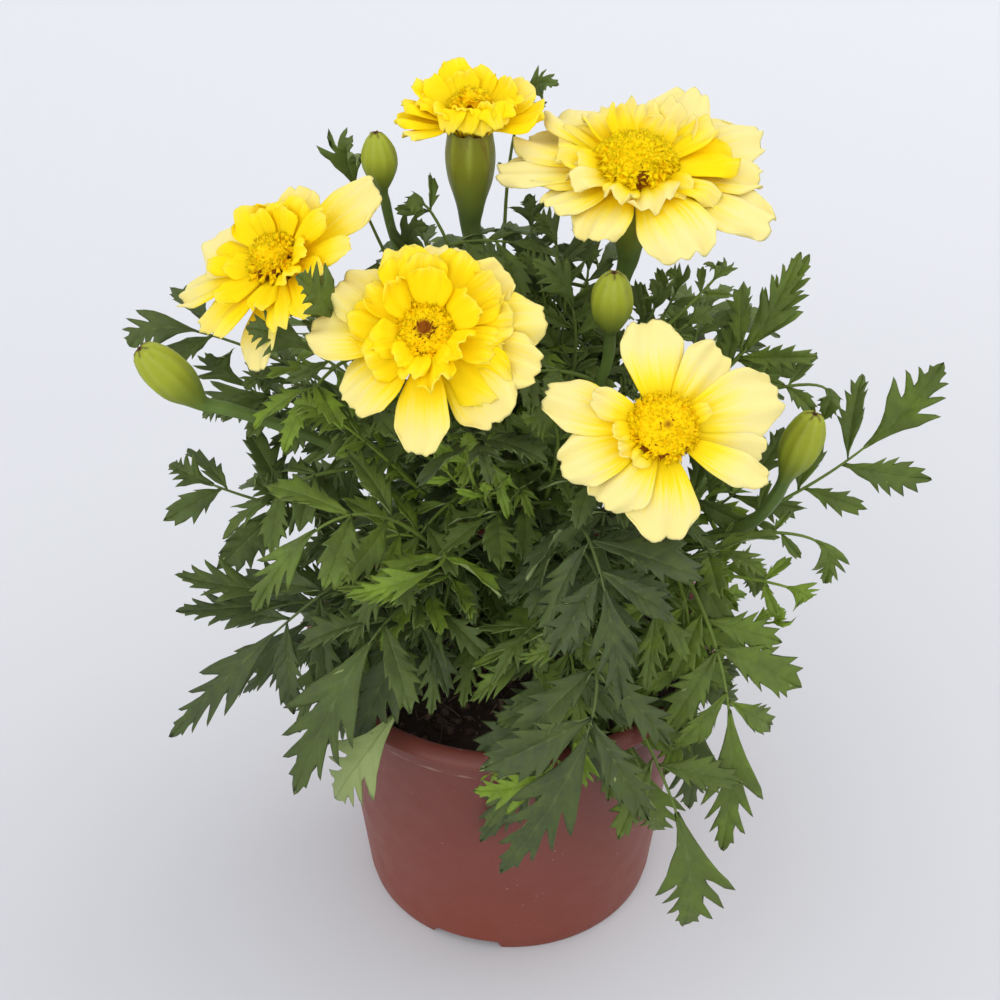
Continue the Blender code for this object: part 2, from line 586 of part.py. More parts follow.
class Patch:
    """A surface that is built up point by point, with a normal at each point."""

    def __init__(self):
        self.points = []
        self.normals = []
        self.triangles = []

    def add(self, point, normal):
        """Adds a point and gives its number."""
        self.points.append(np.asarray(point, float))
        self.normals.append(normal)
        return len(self.points) - 1

    def plain(self, rear, front, tip, place):
        """Fills a plain outline from two root points through its widest place to a tip."""
        wide_rear, wide_front = place(0.5, -0.42), place(0.56, 0.42)
        self.triangles.append((rear, wide_rear, wide_front))
        self.triangles.append((rear, wide_front, front))
        self.triangles.append((wide_rear, place(*tip), wide_front))

    def toothed(self, rear, front, teeth, tip, place):
        """Fills an outline from two root points to a tip, with teeth that point forward on both sides."""
        for tooth, notch in teeth:
            new_rear_tooth = place(tooth[0], -tooth[1])
            new_rear = place(notch[0], -notch[1])
            new_front_tooth = place(tooth[0] + 0.05, tooth[1])
            new_front = place(notch[0] + 0.05, notch[1])
            self.triangles.append((rear, new_rear_tooth, new_rear))
            self.triangles.append((front, new_front, new_front_tooth))
            self.triangles.append((rear, new_rear, new_front))
            self.triangles.append((rear, new_front, front))
            rear, front = new_rear, new_front
        self.triangles.append((rear, place(*tip), front))


def add_leaflet(patch, origin, axis, forward, normal, length, roots):
    """Adds one leaflet to a leaf, from two points on the rib's edge."""
    width = length * LEAFLET_WIDTH_RATIO

    def place(along, across):
        droop = LEAFLET_DROOP * length * along**2
        return patch.add(origin + axis * along * length + forward * across * width - normal * droop, normal)

    if length < PLAIN_LEAFLET:
        patch.plain(roots[0], roots[1], (1.0, 0.08), place)
    else:
        patch.toothed(roots[0], roots[1], LEAFLET_TEETH, (1.0, 0.08), place)


def leaf_solid(leaf, base):
    """The closed solid of one leaf: a narrow rib, pairs of toothed leaflets and a lobed end leaflet."""
    mid, tip = mm(leaf.mid), mm(leaf.tip)
    at = leaf_curve(base, mid, tip)
    length = np.linalg.norm(mid - base) + np.linalg.norm(tip - mid)
    face = unit(leaf.face)
    patch = Patch()

    def frame(share):
        place, direction = at(share)
        side = unit(np.cross(direction, face))
        return place, direction, side, np.cross(side, direction)

    def station(share):
        place, _, side, normal = frame(share)
        left = patch.add(place - side * RIB_HALF_WIDTH, normal)
        right = patch.add(place + side * RIB_HALF_WIDTH, normal)
        return left, right

    def bridge(first, second):
        patch.triangles.append((first[0], first[1], second[1]))
        patch.triangles.append((first[0], second[1], second[0]))

    last = station(0.0)
    first_share = leaf.pairs[0][0] if leaf.pairs else leaf.split
    for part in (0.33, 0.66) if first_share * length > LONG_STALK else (0.5,):
        following = station(first_share * part)
        bridge(last, following)
        last = following
    half = min(LEAFLET_BASE_HALF / length, LEAFLET_BASE_SHARE)
    for share, leaflet in leaf.pairs:
        low, high = station(share - half), station(share + half)
        bridge(last, low)
        bridge(low, high)
        place, direction, side, normal = frame(share)
        for sign, edge in ((-1.0, 0), (1.0, 1)):
            axis = np.cos(LEAFLET_ANGLE) * direction + np.sin(LEAFLET_ANGLE) * sign * side
            forward = np.sin(LEAFLET_ANGLE) * direction - np.cos(LEAFLET_ANGLE) * sign * side
            origin = place + sign * side * RIB_HALF_WIDTH
            add_leaflet(patch, origin, axis, forward, normal, leaflet * MM, (low[edge], high[edge]))
        last = high
    root = station(leaf.split)
    bridge(last, root)
    rest = 1.0 - leaf.split

    def end_place(along, across):
        place, _, side, normal = frame(leaf.split + rest * along)
        return patch.add(place - side * across * rest * length - normal * 0.1 * rest * length * abs(across), normal)

    teeth = TERMINAL_TEETH[:1] if rest * length < SMALL_END_LEAFLET else TERMINAL_TEETH
    patch.toothed(root[1], root[0], teeth, (1.0, 0.0), end_place)
    return blade(patch.points, patch.normals, patch.triangles, LEAF_THICKNESS)


def point_on(path, share):
    """The place at a share of a path's first points, which are the bare stem."""
    bare = path[:len(STEM_SHARES)]
    return np.array([np.interp(share, STEM_SHARES, bare[:, k]) for k in range(3)])


def filler_leaf(filler):
    """A leaf that leaves its stem at a turn and a rise, arches over and droops at its tip."""
    stem = next(stem for stem in STEMS if stem.name == filler.stem)
    base = point_on(stem_path(stem), filler.along)
    turn, rise = np.radians(filler.turn), np.radians(filler.rise)
    out = np.array((np.cos(rise) * np.cos(turn), np.cos(rise) * np.sin(turn), np.sin(rise)))
    mid = base + out * filler.reach * 0.52 + (0.0, 0.0, 0.1 * filler.reach)
    tip = base + out * filler.reach - (0.0, 0.0, 0.1 * filler.reach)
    face = unit((0.3 * np.cos(turn), 0.3 * np.sin(turn), 1.0))
    pairs = ((0.44, 0.44 * filler.reach),)
    if filler.reach > LARGE_FILLER:
        pairs = ((0.34, 0.36 * filler.reach), (0.52, 0.4 * filler.reach))
    return Leaf(filler.stem, filler.along, tuple(mid), tuple(tip), tuple(face), pairs, pairs[-1][0] + 0.1)


def all_leaves():
    """Every leaf of the plant."""
    return list(LEAVES) + [filler_leaf(filler) for filler in FILLERS]


def stem_pieces(stem):
    """The solids of one leafy stem as (points, faces): the stem first, then its leaves."""
    path, radii = stem_parts(stem)
    pieces = [tube(path * MM, radii * MM, stem.sides, first_direction(stem))]
    for leaf in all_leaves():
        if leaf.stem == stem.name:
            pieces.append(leaf_solid(leaf, point_on(path, leaf.along) * MM))
    return pieces


def make_stem(stem):
    """One node: a side stem with its leaves and its calyx or bud."""
    pieces = stem_pieces(stem)
    body = add_solid(stem.name, *pieces[0])
    leaves = [add_solid("leaf", *piece) for piece in pieces[1:]]
    if leaves:
        boolean(body, leaves, "UNION")
    keep_main_shell(body)
    finish_node(body, stem.name, LEAF_COLOUR)


def make_trunk():
    """The main stem, which stands in the soil's hole."""
    path = smooth_path(mm(TRUNK_POINTS), np.linspace(0.0, 1.0, 7))
    heights = [point[2] * MM for point in TRUNK_POINTS]
    radii = np.interp(path[:, 2], heights, np.array(TRUNK_RADII) * MM)
    trunk = add_solid("main_stem", *tube(path, radii, TRUNK_SIDES))
    finish_node(trunk, "main_stem", STEM_COLOUR)


def bloom_frame(bloom):
    """The origin of a bloom on its calyx, and its right, up and outward directions."""
    stem = next(stem for stem in STEMS if stem.name.endswith(bloom.name))
    outward = unit(bloom.normal)
    right = unit(np.array((1.0, 0.0, 0.0)) - outward * outward[0])
    up = np.cross(outward, right)
    origin = mm(stem.head[2]) + outward * GAP
    return origin, np.array((right, up, outward))


def petal_solid(turn, length, width, rise, droop, level, plain=False):
    """A closed petal in the bloom's own axes: narrow root, broad middle and a notched end."""
    cosine, sine = np.cos(turn), np.sin(turn)
    out = np.array((cosine, sine, 0.0))
    side = np.array((-sine, cosine, 0.0))
    reach = length - PETAL_ROOT

    patch = Patch()

    def place(along, across):
        radius = PETAL_ROOT + along * reach
        fall = droop * (along * reach) ** 2 / PETAL_DROOP_REACH
        height = level + rise * along * reach - fall + across * np.sin(PETAL_ROLL)
        return patch.add(out * radius + side * across + np.array((0.0, 0.0, height)), np.array((0.0, 0.0, 1.0)))

    rows = []
    widths = ((0.0, PETAL_ROOT_HALF), (0.62, width * 0.5))
    if not plain:
        widths = ((0.0, PETAL_ROOT_HALF), (0.34, width * 0.38), (0.74, width * 0.5))
    for along, half in widths:
        rows.append((place(along, -half), place(along, half)))
    for first, second in zip(rows[:-1], rows[1:]):
        patch.triangles.append((first[0], second[0], second[1]))
        patch.triangles.append((first[0], second[1], first[1]))
    if plain:
        low, high = place(0.98, -width * 0.28), place(1.0, width * 0.28)
        patch.triangles.append((rows[-1][0], low, high))
        patch.triangles.append((rows[-1][0], high, rows[-1][1]))
    else:
        low, notch, high = place(0.96, -width * 0.34), place(0.96, 0.0), place(1.0, width * 0.32)
        patch.triangles.append((rows[-1][0], low, notch))
        patch.triangles.append((rows[-1][0], notch, rows[-1][1]))
        patch.triangles.append((notch, high, rows[-1][1]))
    return blade(patch.points, patch.normals, patch.triangles, PETAL_THICKNESS)


def in_bloom(bloom, piece):
    """A piece moved from the bloom's own axes to its place on the plant."""
    origin, axes = bloom_frame(bloom)
    points, faces = piece
    return origin + np.asarray(points) @ axes, faces


def ray_pieces(bloom):
    """The petals of one bloom, its outer and inner rings, after the small core that carries them."""
    core = ((0.0, 0.0), (CORE_RADIUS, 0.0), (CORE_RADIUS, CORE_HEIGHT), (0.0, CORE_HEIGHT))
    pieces = [revolve(core, CORE_SIDES)]
    ordered = sorted(bloom.petals)
    for k, (turn, length) in enumerate(ordered):
        level = (0.7 + 0.12 * (k % 2)) * MM
        width = bloom.width * MM * (0.9 + 0.1 * (length > 28))
        pieces.append(petal_solid(np.radians(turn), length * MM, width, 0.16, 0.2, level))
    for k in range(bloom.inner):
        turn = np.radians(360.0 * k / bloom.inner + 24.0)
        length = bloom.inner_length * MM * (1.0 + 0.08 * (-1) ** k)
        pieces.append(petal_solid(turn, length, length * 0.62, 0.42, 0.12, 2.6 * MM, True))
    return [in_bloom(bloom, piece) for piece in pieces]


def floret_solid(direction, base, length, half):
    """One floret: a four-sided scoop that widens outward and leans over at its end."""
    side = unit(np.cross(direction, (0.0, 0.0, 1.0) if direction[2] < 0.95 else (1.0, 0.0, 0.0)))
    other = np.cross(direction, side)
    points = []
    for along, wide, thick in ((0.0, 0.5, 0.5), (1.0, 1.0, 0.45)):
        centre = base + direction * length * along - other * 0.2 * length * along
        for a, b in ((-1, -1), (1, -1), (1, 1), (-1, 1)):
            points.append(centre + side * a * half * wide + other * b * half * thick)
    faces = [(0, 1, 2, 3), (4, 5, 6, 7)]
    faces.extend((k, (k + 1) % 4, 4 + (k + 1) % 4, 4 + k) for k in range(4))
    return points, faces


def crest_pieces(bloom):
    """The golden crest of one bloom: a small dome first, then its curled florets."""
    radius = bloom.crest_radius * MM
    low = CORE_HEIGHT + GAP
    inner = radius * 0.62
    dome = (
        (0.0, low),
        (inner * 0.6, low),
        (inner, low + inner * 0.4),
        (inner * 0.8, low + inner * 0.75),
        (0.0, low + inner),
    )
    pieces = [revolve(dome, CREST_SIDES)]
    middle = np.array((0.0, 0.0, low + inner * 0.3))
    for count, tilt, first in CREST_RINGS:
        for k in range(count):
            turn = np.radians(first + 360.0 * k / count)
            lean = np.radians(tilt)
            direction = np.array((np.sin(lean) * np.cos(turn), np.sin(lean) * np.sin(turn), np.cos(lean)))
            base = middle + direction * inner * 0.5
            pieces.append(floret_solid(direction, base, radius - inner * 0.5, radius * FLORET_HALF_SHARE))
    return [in_bloom(bloom, piece) for piece in pieces]


def make_fused(name, pieces, colour):
    """One node: a first piece with its repeats fused to it."""
    body = add_solid(name, *pieces[0])
    repeats = [add_solid("repeat", *piece) for piece in pieces[1:]]
    boolean(body, repeats, "UNION")
    keep_main_shell(body)
    finish_node(body, name, colour)


def main():
    """Builds the whole object."""
    clear_scene()
    make_pot()
    make_soil()
    make_trunk()
    for stem in STEMS:
        make_stem(stem)
    for bloom in BLOOMS:
        make_fused(bloom.name + "_petals", ray_pieces(bloom), PETAL_COLOUR)
        make_fused(bloom.name + "_crest", crest_pieces(bloom), CREST_COLOUR)


if __name__ == "__main__":
    main()
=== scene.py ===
"""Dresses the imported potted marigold: a nursery pot with soil, leafy stems, buds, five blooms and a studio.

Lengths are in metres, +Z is up, the pot's axis is the Z axis and the camera side of the plant is -Y.
"""

import json
from collections import namedtuple

import bmesh
import bpy
import numpy as np
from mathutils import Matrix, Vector

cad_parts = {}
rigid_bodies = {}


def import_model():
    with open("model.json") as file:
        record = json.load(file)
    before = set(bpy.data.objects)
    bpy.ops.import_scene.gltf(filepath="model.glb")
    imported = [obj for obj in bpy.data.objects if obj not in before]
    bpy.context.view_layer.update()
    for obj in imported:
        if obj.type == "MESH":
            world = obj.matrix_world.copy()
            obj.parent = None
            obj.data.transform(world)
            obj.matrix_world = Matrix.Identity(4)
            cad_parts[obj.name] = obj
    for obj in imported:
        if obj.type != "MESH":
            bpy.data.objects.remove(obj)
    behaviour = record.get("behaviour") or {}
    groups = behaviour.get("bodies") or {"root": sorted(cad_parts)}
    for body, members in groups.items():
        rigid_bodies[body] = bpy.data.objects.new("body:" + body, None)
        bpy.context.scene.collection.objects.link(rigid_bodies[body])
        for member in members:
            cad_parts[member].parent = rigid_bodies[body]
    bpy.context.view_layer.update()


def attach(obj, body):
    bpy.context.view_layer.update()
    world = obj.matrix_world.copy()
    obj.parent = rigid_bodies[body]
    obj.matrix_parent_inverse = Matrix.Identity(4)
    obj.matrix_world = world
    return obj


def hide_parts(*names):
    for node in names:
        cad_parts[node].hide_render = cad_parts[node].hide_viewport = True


bl_info = {
    "name": "Potted marigold",
    "version": (1, 0, 0),
    "blender": (4, 5, 0),
    "location": "3D View > Sidebar > Marigold",
    "description": "Makes the pot, soil, leafy stems, blooms and studio around the packed frame",
    "category": "Add Mesh",
}

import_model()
MM = 0.001
SEED = 41

# The pot, with the section of its underside as (radius, height) in millimetres
POT_HEIGHT = 92.0 * MM
LIP_RADIUS = 60.0 * MM
LIP_EDGE_HEIGHT = 89.4 * MM
FOOT_RADIUS = 43.6 * MM
COLLAR_FOOT_HEIGHT = 79.5 * MM
COLLAR_RADIUS = 54.6 * MM
WALL_TOP_RADIUS = 52.6 * MM
LEDGE = 80.4 * MM
WALL = 1.1 * MM
FLOOR_RAISED = 3.0 * MM
NOTCH_ANGLES = (-108.0, 12.0, 132.0)
NOTCH_WIDTH = 22.0 * MM
NOTCH_HEIGHT = 3.0 * MM
HOLE_ANGLES = (45.0, 135.0, 225.0, 315.0)
HOLE_RADIUS = 3.5 * MM
HOLE_CIRCLE_RADIUS = 22.0 * MM
DRILL_FOOT, DRILL_TOP = -1.0 * MM, 7.0 * MM
POT_SIDES = 288
HOLE_SIDES = 24
SEAM_HEIGHT = 3.2 * MM
SEAM_STEP = 0.22 * MM
WALL_ROWS = 14
NOTCH_INNER_RADIUS = 33.5 * MM
NOTCH_RAMP = 2.2
UNDERSIDE_ROWS = 20
UNDERSIDE = (
    (0.0, 0.0), (4.0, 0.0), (8.6, 0.0), (9.3, 0.3), (10.3, 2.7), (11.0, 3.0), (22.0, 3.0), (32.6, 3.0),
    (33.3, 2.7), (34.3, 0.3), (34.9, 0.0), (39.0, 0.0), (42.6, 0.0), (43.3, 0.25), (43.6, 0.8),
)

# The soil
SOIL_BOTTOM = 4.5 * MM
SOIL_EDGE_HEIGHT = 80.5 * MM
SOIL_MIDDLE_HEIGHT = 84.5 * MM
SOIL_BUMP = 1.1 * MM
SOIL_SHOULDER = 72.0 * MM
SOIL_SIDES = 150
SOIL_RINGS = 46
LUMP_ROWS = 5
LUMP_SIDES = 6
FIBRE_ROWS = 6
FIBRE_SIDES = 4

# The main stem
TRUNK_POINTS = ((0, 2, 66), (0, 2, 86), (1, 4, 106), (1, 6, 128), (0, 8, 150))
TRUNK_RADII = (4.4, 4.3, 4.1, 3.7, 3.3)
GAP = 0.35
TRUNK_ROWS = 60
TRUNK_SIDES = 24

# Side stems: heights on the main stem, headings, points and end radii in millimetres, and the kind of head
Stem = namedtuple("Stem", "name height heading points radii head")
CALYX = ((0.0, 2.8), (7.0, 3.8), (15.0, 5.8), (21.5, 6.5), (27.0, 5.8))
BUD = ((0.0, 1.8), (2.0, 3.0), (6.0, 4.8), (10.0, 5.4), (14.0, 4.7), (16.5, 3.2))
LONG_BUD = ((0.0, 2.3), (4.0, 3.6), (9.0, 5.3), (14.0, 5.8), (19.0, 5.0), (22.0, 3.5))

STEMS = (
    Stem("stem_bloom_a", 124, (-1.0, 0.5), ((-18, 10, 142), (-36, 10, 168), (-45, 9, 186)), (2.4, 2.2),
         (CALYX, 1.0, (-59.0, -3.5, 214.5))),
    Stem("stem_bloom_b", None, (0.0, 0.0), ((-1, 11, 168), (-5, 16, 188), (-9, 21, 203)), (2.9, 2.7),
         (CALYX, 1.0, (-11.0, 27.5, 238.0))),
    Stem("stem_bloom_c", 131, (-0.7, -1.0), ((-9, -6, 146), (-14, -12, 166), (-17, -17, 180)), (2.4, 2.2),
         (CALYX, 1.0, (-21.0, -31.0, 211.0))),
    Stem("stem_bloom_d", 139, (1.0, 0.6), ((14, 13, 158), (25, 15, 184), (30, 16, 200)), (2.5, 2.3),
         (CALYX, 1.0, (32.0, 12.0, 232.0))),
    Stem("stem_bloom_e", 121, (0.8, -1.0), ((12, -7, 136), (22, -15, 154), (30, -24, 168)), (2.4, 2.2),
         (CALYX, 1.0, (37.0, -45.5, 192.5))),
    Stem("stem_bud_1", 145, (-1.0, 0.4), ((-12, 12, 160), (-25, 17, 190), (-32, 20, 212)), (1.8, 1.3),
         (BUD, 0.86, (-35.5, 22.0, 239.0))),
    Stem("stem_bud_2", 113, (-1.0, -0.2), ((-18, -1, 126), (-45, -7, 158), (-66, -11, 172)), (2.0, 1.7),
         (LONG_BUD, 1.0, (-95.5, -17.0, 197.5))),
    Stem("stem_bud_3", 137, (0.9, -0.5), ((10, -1, 150), (20, -7, 172), (25, -11, 190)), (1.9, 1.5),
         (BUD, 1.0, (26.0, -12.0, 217.0))),
    Stem("stem_bud_4", 109, (1.0, -0.1), ((18, 1, 115), (45, -6, 124), (66, -12, 138)), (2.2, 1.8),
         (LONG_BUD, 0.95, (80.0, -16.0, 176.0))),
    Stem("stem_left", 99, (-1.0, -0.5), ((-15, -6, 106), (-30, -13, 118), (-42, -20, 128)), (2.1, 1.5), None),
    Stem("stem_front_left", 105, (-0.5, -1.0), ((-8, -12, 116), (-16, -22, 130), (-20, -30, 146)), (2.1, 1.5),
         None),
    Stem("stem_front", 95, (0.4, -1.0), ((5, -12, 103), (11, -24, 116), (15, -36, 128)), (2.1, 1.5), None),
    Stem("stem_right", 98, (1.0, -0.5), ((16, -3, 104), (34, -12, 118), (48, -22, 132)), (2.1, 1.5), None),
    Stem("stem_upper_right", 132, (1.0, 0.1), ((18, 6, 142), (38, 7, 158), (54, 8, 172)), (2.0, 1.4), None),
    Stem("stem_back", 115, (0.1, 1.0), ((2, 24, 126), (3, 42, 146), (2, 54, 166)), (2.1, 1.4), None),
    Stem("stem_back_left", 103, (-0.8, 0.9), ((-16, 20, 112), (-34, 34, 130), (-46, 42, 148)), (2.1, 1.4),
         None),
    Stem("stem_back_right", 107, (0.8, 0.9), ((16, 22, 116), (34, 34, 134), (46, 42, 152)), (2.1, 1.4), None),
)

STEM_NAMED = {stem.name: stem for stem in STEMS}
STEM_SIDES = 24
BUD_SIDES = 40
STEM_RIBS = 8
BUD_RIBS = 5
BARE_ROWS = 15
PLAIN_ROWS = 32
HEADED_ROWS = 64

# Leaves: where each leaves its stem, points in millimetres, which way it faces, pairs of leaflets as (place,
# length), where its end leaflet starts and a tone from dark to bright
Leaf = namedtuple("Leaf", "stem along mid tip face pairs split tone")
UPWARD = (0.0, -0.35, 1.0)
FORWARD = (0.0, -0.75, 0.65)

LEAVES = tuple(Leaf("stem_" + name, *row) for name, *row in (
    ("front_left", 0.75, (-42, -44, 165), (-67, -58, 144), (-0.2, -0.6, 0.8), ((0.32, 24), (0.5, 25)),
     0.66, 0.55),
    ("front_left", 0.97, (-21, -52, 153), (-43, -60, 151), (0.0, -0.5, 0.9), ((0.27, 22),), 0.5, 0.78),
    ("bud_2", 0.42, (-66, -15, 147), (-91, -18, 163), (0.1, -0.5, 0.9), ((0.45, 25), (0.68, 18)),
     0.72, 0.15),
    ("left", 0.97, (-60, -38, 125), (-95, -46, 89), (-0.3, -0.6, 0.7), ((0.32, 25), (0.5, 26)), 0.56, 0.14),
    ("left", 0.85, (-62, -33, 131), (-89, -40, 143), UPWARD, (), 0.5, 0.15),
    ("left", 0.6, (-37, -51, 129), (-59, -62, 84), (-0.2, -0.8, 0.5), ((0.41, 28),), 0.5, 0.16),
    ("left", 0.35, (-33, -56, 104), (-50, -61, 79), (0.2, 0.5, -0.6), (), 0.45, 0.6),
    ("bud_2", 0.3, (-40, -18, 171), (-56, -20, 182), UPWARD, ((0.5, 12),), 0.65, 0.8),
    ("bloom_c", 0.3, (-10, -35, 169), (-11, -38, 187), FORWARD, ((0.7, 12),), 0.79, 0.85),
    ("bloom_e", 0.5, (20, -58, 166), (28, -78, 132), FORWARD, ((0.3, 26), (0.48, 30), (0.64, 24)),
     0.68, 0.02),
    ("bud_4", 0.72, (88, -7, 152), (114, -10, 190), (0.1, -0.6, 0.8), ((0.4, 20), (0.54, 27)), 0.62, 0.6),
    ("bud_4", 0.62, (76, -22, 142), (86, -26, 128), FORWARD, ((0.45, 9),), 0.64, 0.5),
    ("bud_4", 0.45, (64, -25, 129), (81, -34, 128), FORWARD, ((0.4, 14), (0.56, 11)), 0.7, 0.85),
    ("right", 0.7, (65, -27, 115), (74, -30, 122), UPWARD, ((0.55, 11),), 0.72, 0.9),
    ("right", 0.97, (59, -48, 105), (60, -55, 54), (0.1, -0.8, 0.6), ((0.2, 21), (0.34, 27), (0.48, 24)),
     0.53, 0.5),
    ("right", 0.45, (43, -62, 84), (49, -70, 38), (0.0, -0.85, 0.4), ((0.42, 25),), 0.56, 0.42),
    ("front", 0.95, (21, -72, 121), (-3, -78, 69), (0.0, -0.8, 0.6), ((0.34, 28), (0.5, 31)), 0.55, 0.12),
    ("front", 0.5, (13, -64, 101), (-11, -66, 88), FORWARD, ((0.55, 13),), 0.64, 0.9),
    ("upper_right", 0.95, (65, 8, 184), (77, 14, 209), (0.0, -0.5, 0.8), ((0.26, 17), (0.4, 21)), 0.44, 0.55),
    ("upper_right", 0.7, (78, 0, 176), (84, -5, 168), UPWARD, ((0.45, 13),), 0.7, 0.45),
    ("bloom_d", 0.45, (47, 2, 200), (55, 10, 207), FORWARD, ((0.6, 8),), 0.69, 0.5),
    ("bloom_b", 0.55, (0, 42, 225), (11, 39, 247), FORWARD, ((0.65, 9),), 0.74, 0.5),
    ("bud_1", 0.45, (-39, 27, 213), (-42, 23, 237), FORWARD, (), 0.6, 0.4),
    ("bloom_b", 0.4, (-18, 18, 212), (-26, 16, 220), FORWARD, ((0.65, 10),), 0.74, 0.45),
    ("bloom_c", 0.48, (-36, -18, 197), (-54, -29, 228), (0.5, -0.6, 0.6), (), 0.64, 0.45),
    ("bloom_c", 0.4, (-43, -16, 190), (-68, -21, 208), (0.0, -0.6, 0.8), ((0.6, 13),), 0.65, 0.4),
    ("bloom_a", 0.6, (-79, 8, 186), (-103, 2, 187), UPWARD, ((0.5, 21),), 0.56, 0.2),
    ("bloom_a", 0.4, (-67, 9, 165), (-82, 12, 178), UPWARD, ((0.5, 15),), 0.6, 0.3),
    ("bloom_d", 0.25, (13, 12, 199), (6, 20, 217), FORWARD, ((0.4, 16), (0.6, 12)), 0.7, 0.35),
    ("bud_3", 0.5, (17, -2, 195), (5, 0, 215), FORWARD, ((0.5, 15),), 0.6, 0.4),
    ("bloom_b", 0.15, (-3, 5, 190), (-6, 12, 214), FORWARD, ((0.5, 14),), 0.6, 0.3),
    ("bloom_e", 0.25, (12, -30, 179), (2, -40, 192), FORWARD, ((0.5, 15),), 0.6, 0.6),
    ("bloom_c", 0.5, (-7, -25, 172), (-1, -36, 158), FORWARD, ((0.5, 14),), 0.68, 0.75),
    ("bloom_a", 0.3, (-38, -5, 168), (-57, -8, 178), UPWARD, ((0.5, 18),), 0.6, 0.2),
    ("front_left", 0.5, (-25, -36, 130), (-37, -44, 142), UPWARD, ((0.5, 15),), 0.6, 0.4),
    ("front", 0.4, (5, -45, 120), (-13, -52, 109), UPWARD, ((0.5, 18),), 0.6, 0.5),
    ("front", 0.7, (14, -58, 135), (2, -62, 132), UPWARD, ((0.35, 15),), 0.6, 0.6),
    ("front", 0.6, (17, -60, 104), (17, -66, 90), FORWARD, (), 0.5, 0.95),
    ("bloom_d", 0.35, (19, 14, 190), (20, 16, 211), FORWARD, ((0.5, 14), (0.68, 10)), 0.75, 0.3),
    ("bud_3", 0.4, (14, 8, 190), (13, 12, 208), FORWARD, ((0.5, 14),), 0.68, 0.35),
    ("bloom_d", 0.5, (36, 10, 188), (37, 8, 204), FORWARD, ((0.5, 14),), 0.66, 0.4),
    ("bloom_d", 0.3, (40, 16, 185), (42, 16, 202), FORWARD, ((0.45, 14), (0.62, 10)), 0.7, 0.35),
    ("bloom_b", 0.3, (4, 14, 196), (6, 18, 212), FORWARD, ((0.5, 13),), 0.66, 0.1),
    ("bloom_b", 0.45, (5, 20, 205), (4, 24, 221), FORWARD, ((0.5, 10),), 0.66, 0.1),
))

# More leaves: a place along a stem, a turn and a rise in degrees, a reach in millimetres and a tone
Filler = namedtuple("Filler", "stem along turn rise reach tone")
FILLERS = tuple(Filler("stem_" + name, *row) for name, *row in (
    ("front_left", 0.75, -100, -30, 40, 0.3),
    ("front_left", 0.45, -100, -10, 40, 0.4),
    ("left", 0.9, -100, -30, 40, 0.35),
    ("front", 0.9, -80, -30, 40, 0.6),
    ("right", 0.9, -100, -10, 40, 0.5),
    ("bud_4", 0.9, -120, -30, 40, 0.45),
    ("bloom_e", 0.9, -100, -30, 40, 0.2),
    ("bloom_d", 0.35, 150, 45, 30, 0.1),
    ("bloom_d", 0.5, 60, 35, 30, 0.15),
    ("bud_3", 0.45, 100, 50, 30, 0.1),
    ("bloom_b", 0.3, -30, 45, 34, 0.1),
    ("bloom_b", 0.45, -160, 35, 30, 0.15),
    ("upper_right", 0.5, 110, 42, 36, 0.2),
    ("upper_right", 0.3, 60, 50, 36, 0.15),
    ("upper_right", 0.8, -60, 25, 34, 0.35),
    ("upper_right", 0.6, 15, 25, 40, 0.4),
    ("upper_right", 0.4, -35, 15, 40, 0.3),
    ("upper_right", 0.9, 70, 50, 34, 0.5),
    ("right", 0.6, -60, -35, 42, 0.7),
    ("right", 0.8, -30, -28, 42, 0.85),
    ("right", 0.9, -75, -52, 46, 0.6),
    ("bud_4", 0.5, -70, -20, 38, 0.8),
    ("bud_4", 0.3, -60, -30, 38, 0.65),
    ("left", 0.8, -160, -35, 42, 0.3),
    ("left", 0.95, -130, -48, 46, 0.35),
    ("left", 0.6, -120, -30, 38, 0.25),
    ("bud_2", 0.5, -150, -8, 38, 0.3),
    ("bud_2", 0.35, -130, -32, 42, 0.3),
    ("bud_2", 0.25, 170, -22, 42, 0.2),
    ("back_left", 0.75, -140, -10, 50, 0.4),
    ("back_left", 0.95, 120, 10, 50, 0.5),
    ("back_left", 0.5, 60, -5, 44, 0.45),
    ("back", 0.95, 130, 20, 44, 0.5),
    ("back", 0.85, 50, 10, 44, 0.45),
    ("back", 0.55, 95, -15, 44, 0.4),
    ("back_right", 0.95, 60, 15, 50, 0.45),
    ("back_right", 0.75, 0, -5, 44, 0.5),
    ("back_right", 0.5, -10, -25, 40, 0.5),
))
LARGE_FILLER = 42.0

# Leaves by rule: the bush that they stay in, places and tries on each stem, turns in degrees, seeded ranges
BUSH_BOTTOM, BUSH_TOP, BUSH_REACH, BUSH_ROUNDING = 97.0, 224.0, 86.0, 0.008
CLEAR_OF_CALYX = (33.0, -9.0)
CLEAR_OF_BUD = (11.0, -30.0)
INNER_PLACES = (0.2, 0.3, 0.4, 0.5, 0.6, 0.7, 0.8, 0.9)
INNER_TRIES = 4
TURN_A_STEM, TURN_A_LEAF, TURN_A_TRY = 97.0, 137.5, 80.0
INNER_RISE = (-18.0, 34.0)
INNER_REACH = (33.0, 47.0)
DARK_SHARE, DARK_TONES, BRIGHT_TONES = 0.78, (0.0, 0.55), (0.7, 1.0)
LONG_LEAF = 30.0
COMPANION_SHIFT = (13.0, 9.0, 11.0)

# How a leaf is drawn
RIB_ROWS = 14
RIB_SIDES = 6
LEAFLET_ANGLE = 52.0
LONG_BARE_RIB = 15.0 * MM
BARE_SHARE = 0.36
ADDED_PAIR_PLACE, ADDED_PAIR_SIZE = 0.62, 0.5
LONG_LEAFLETS = (12.0 * MM, 20.0 * MM)
USUAL_LEAFLET = 22.0 * MM

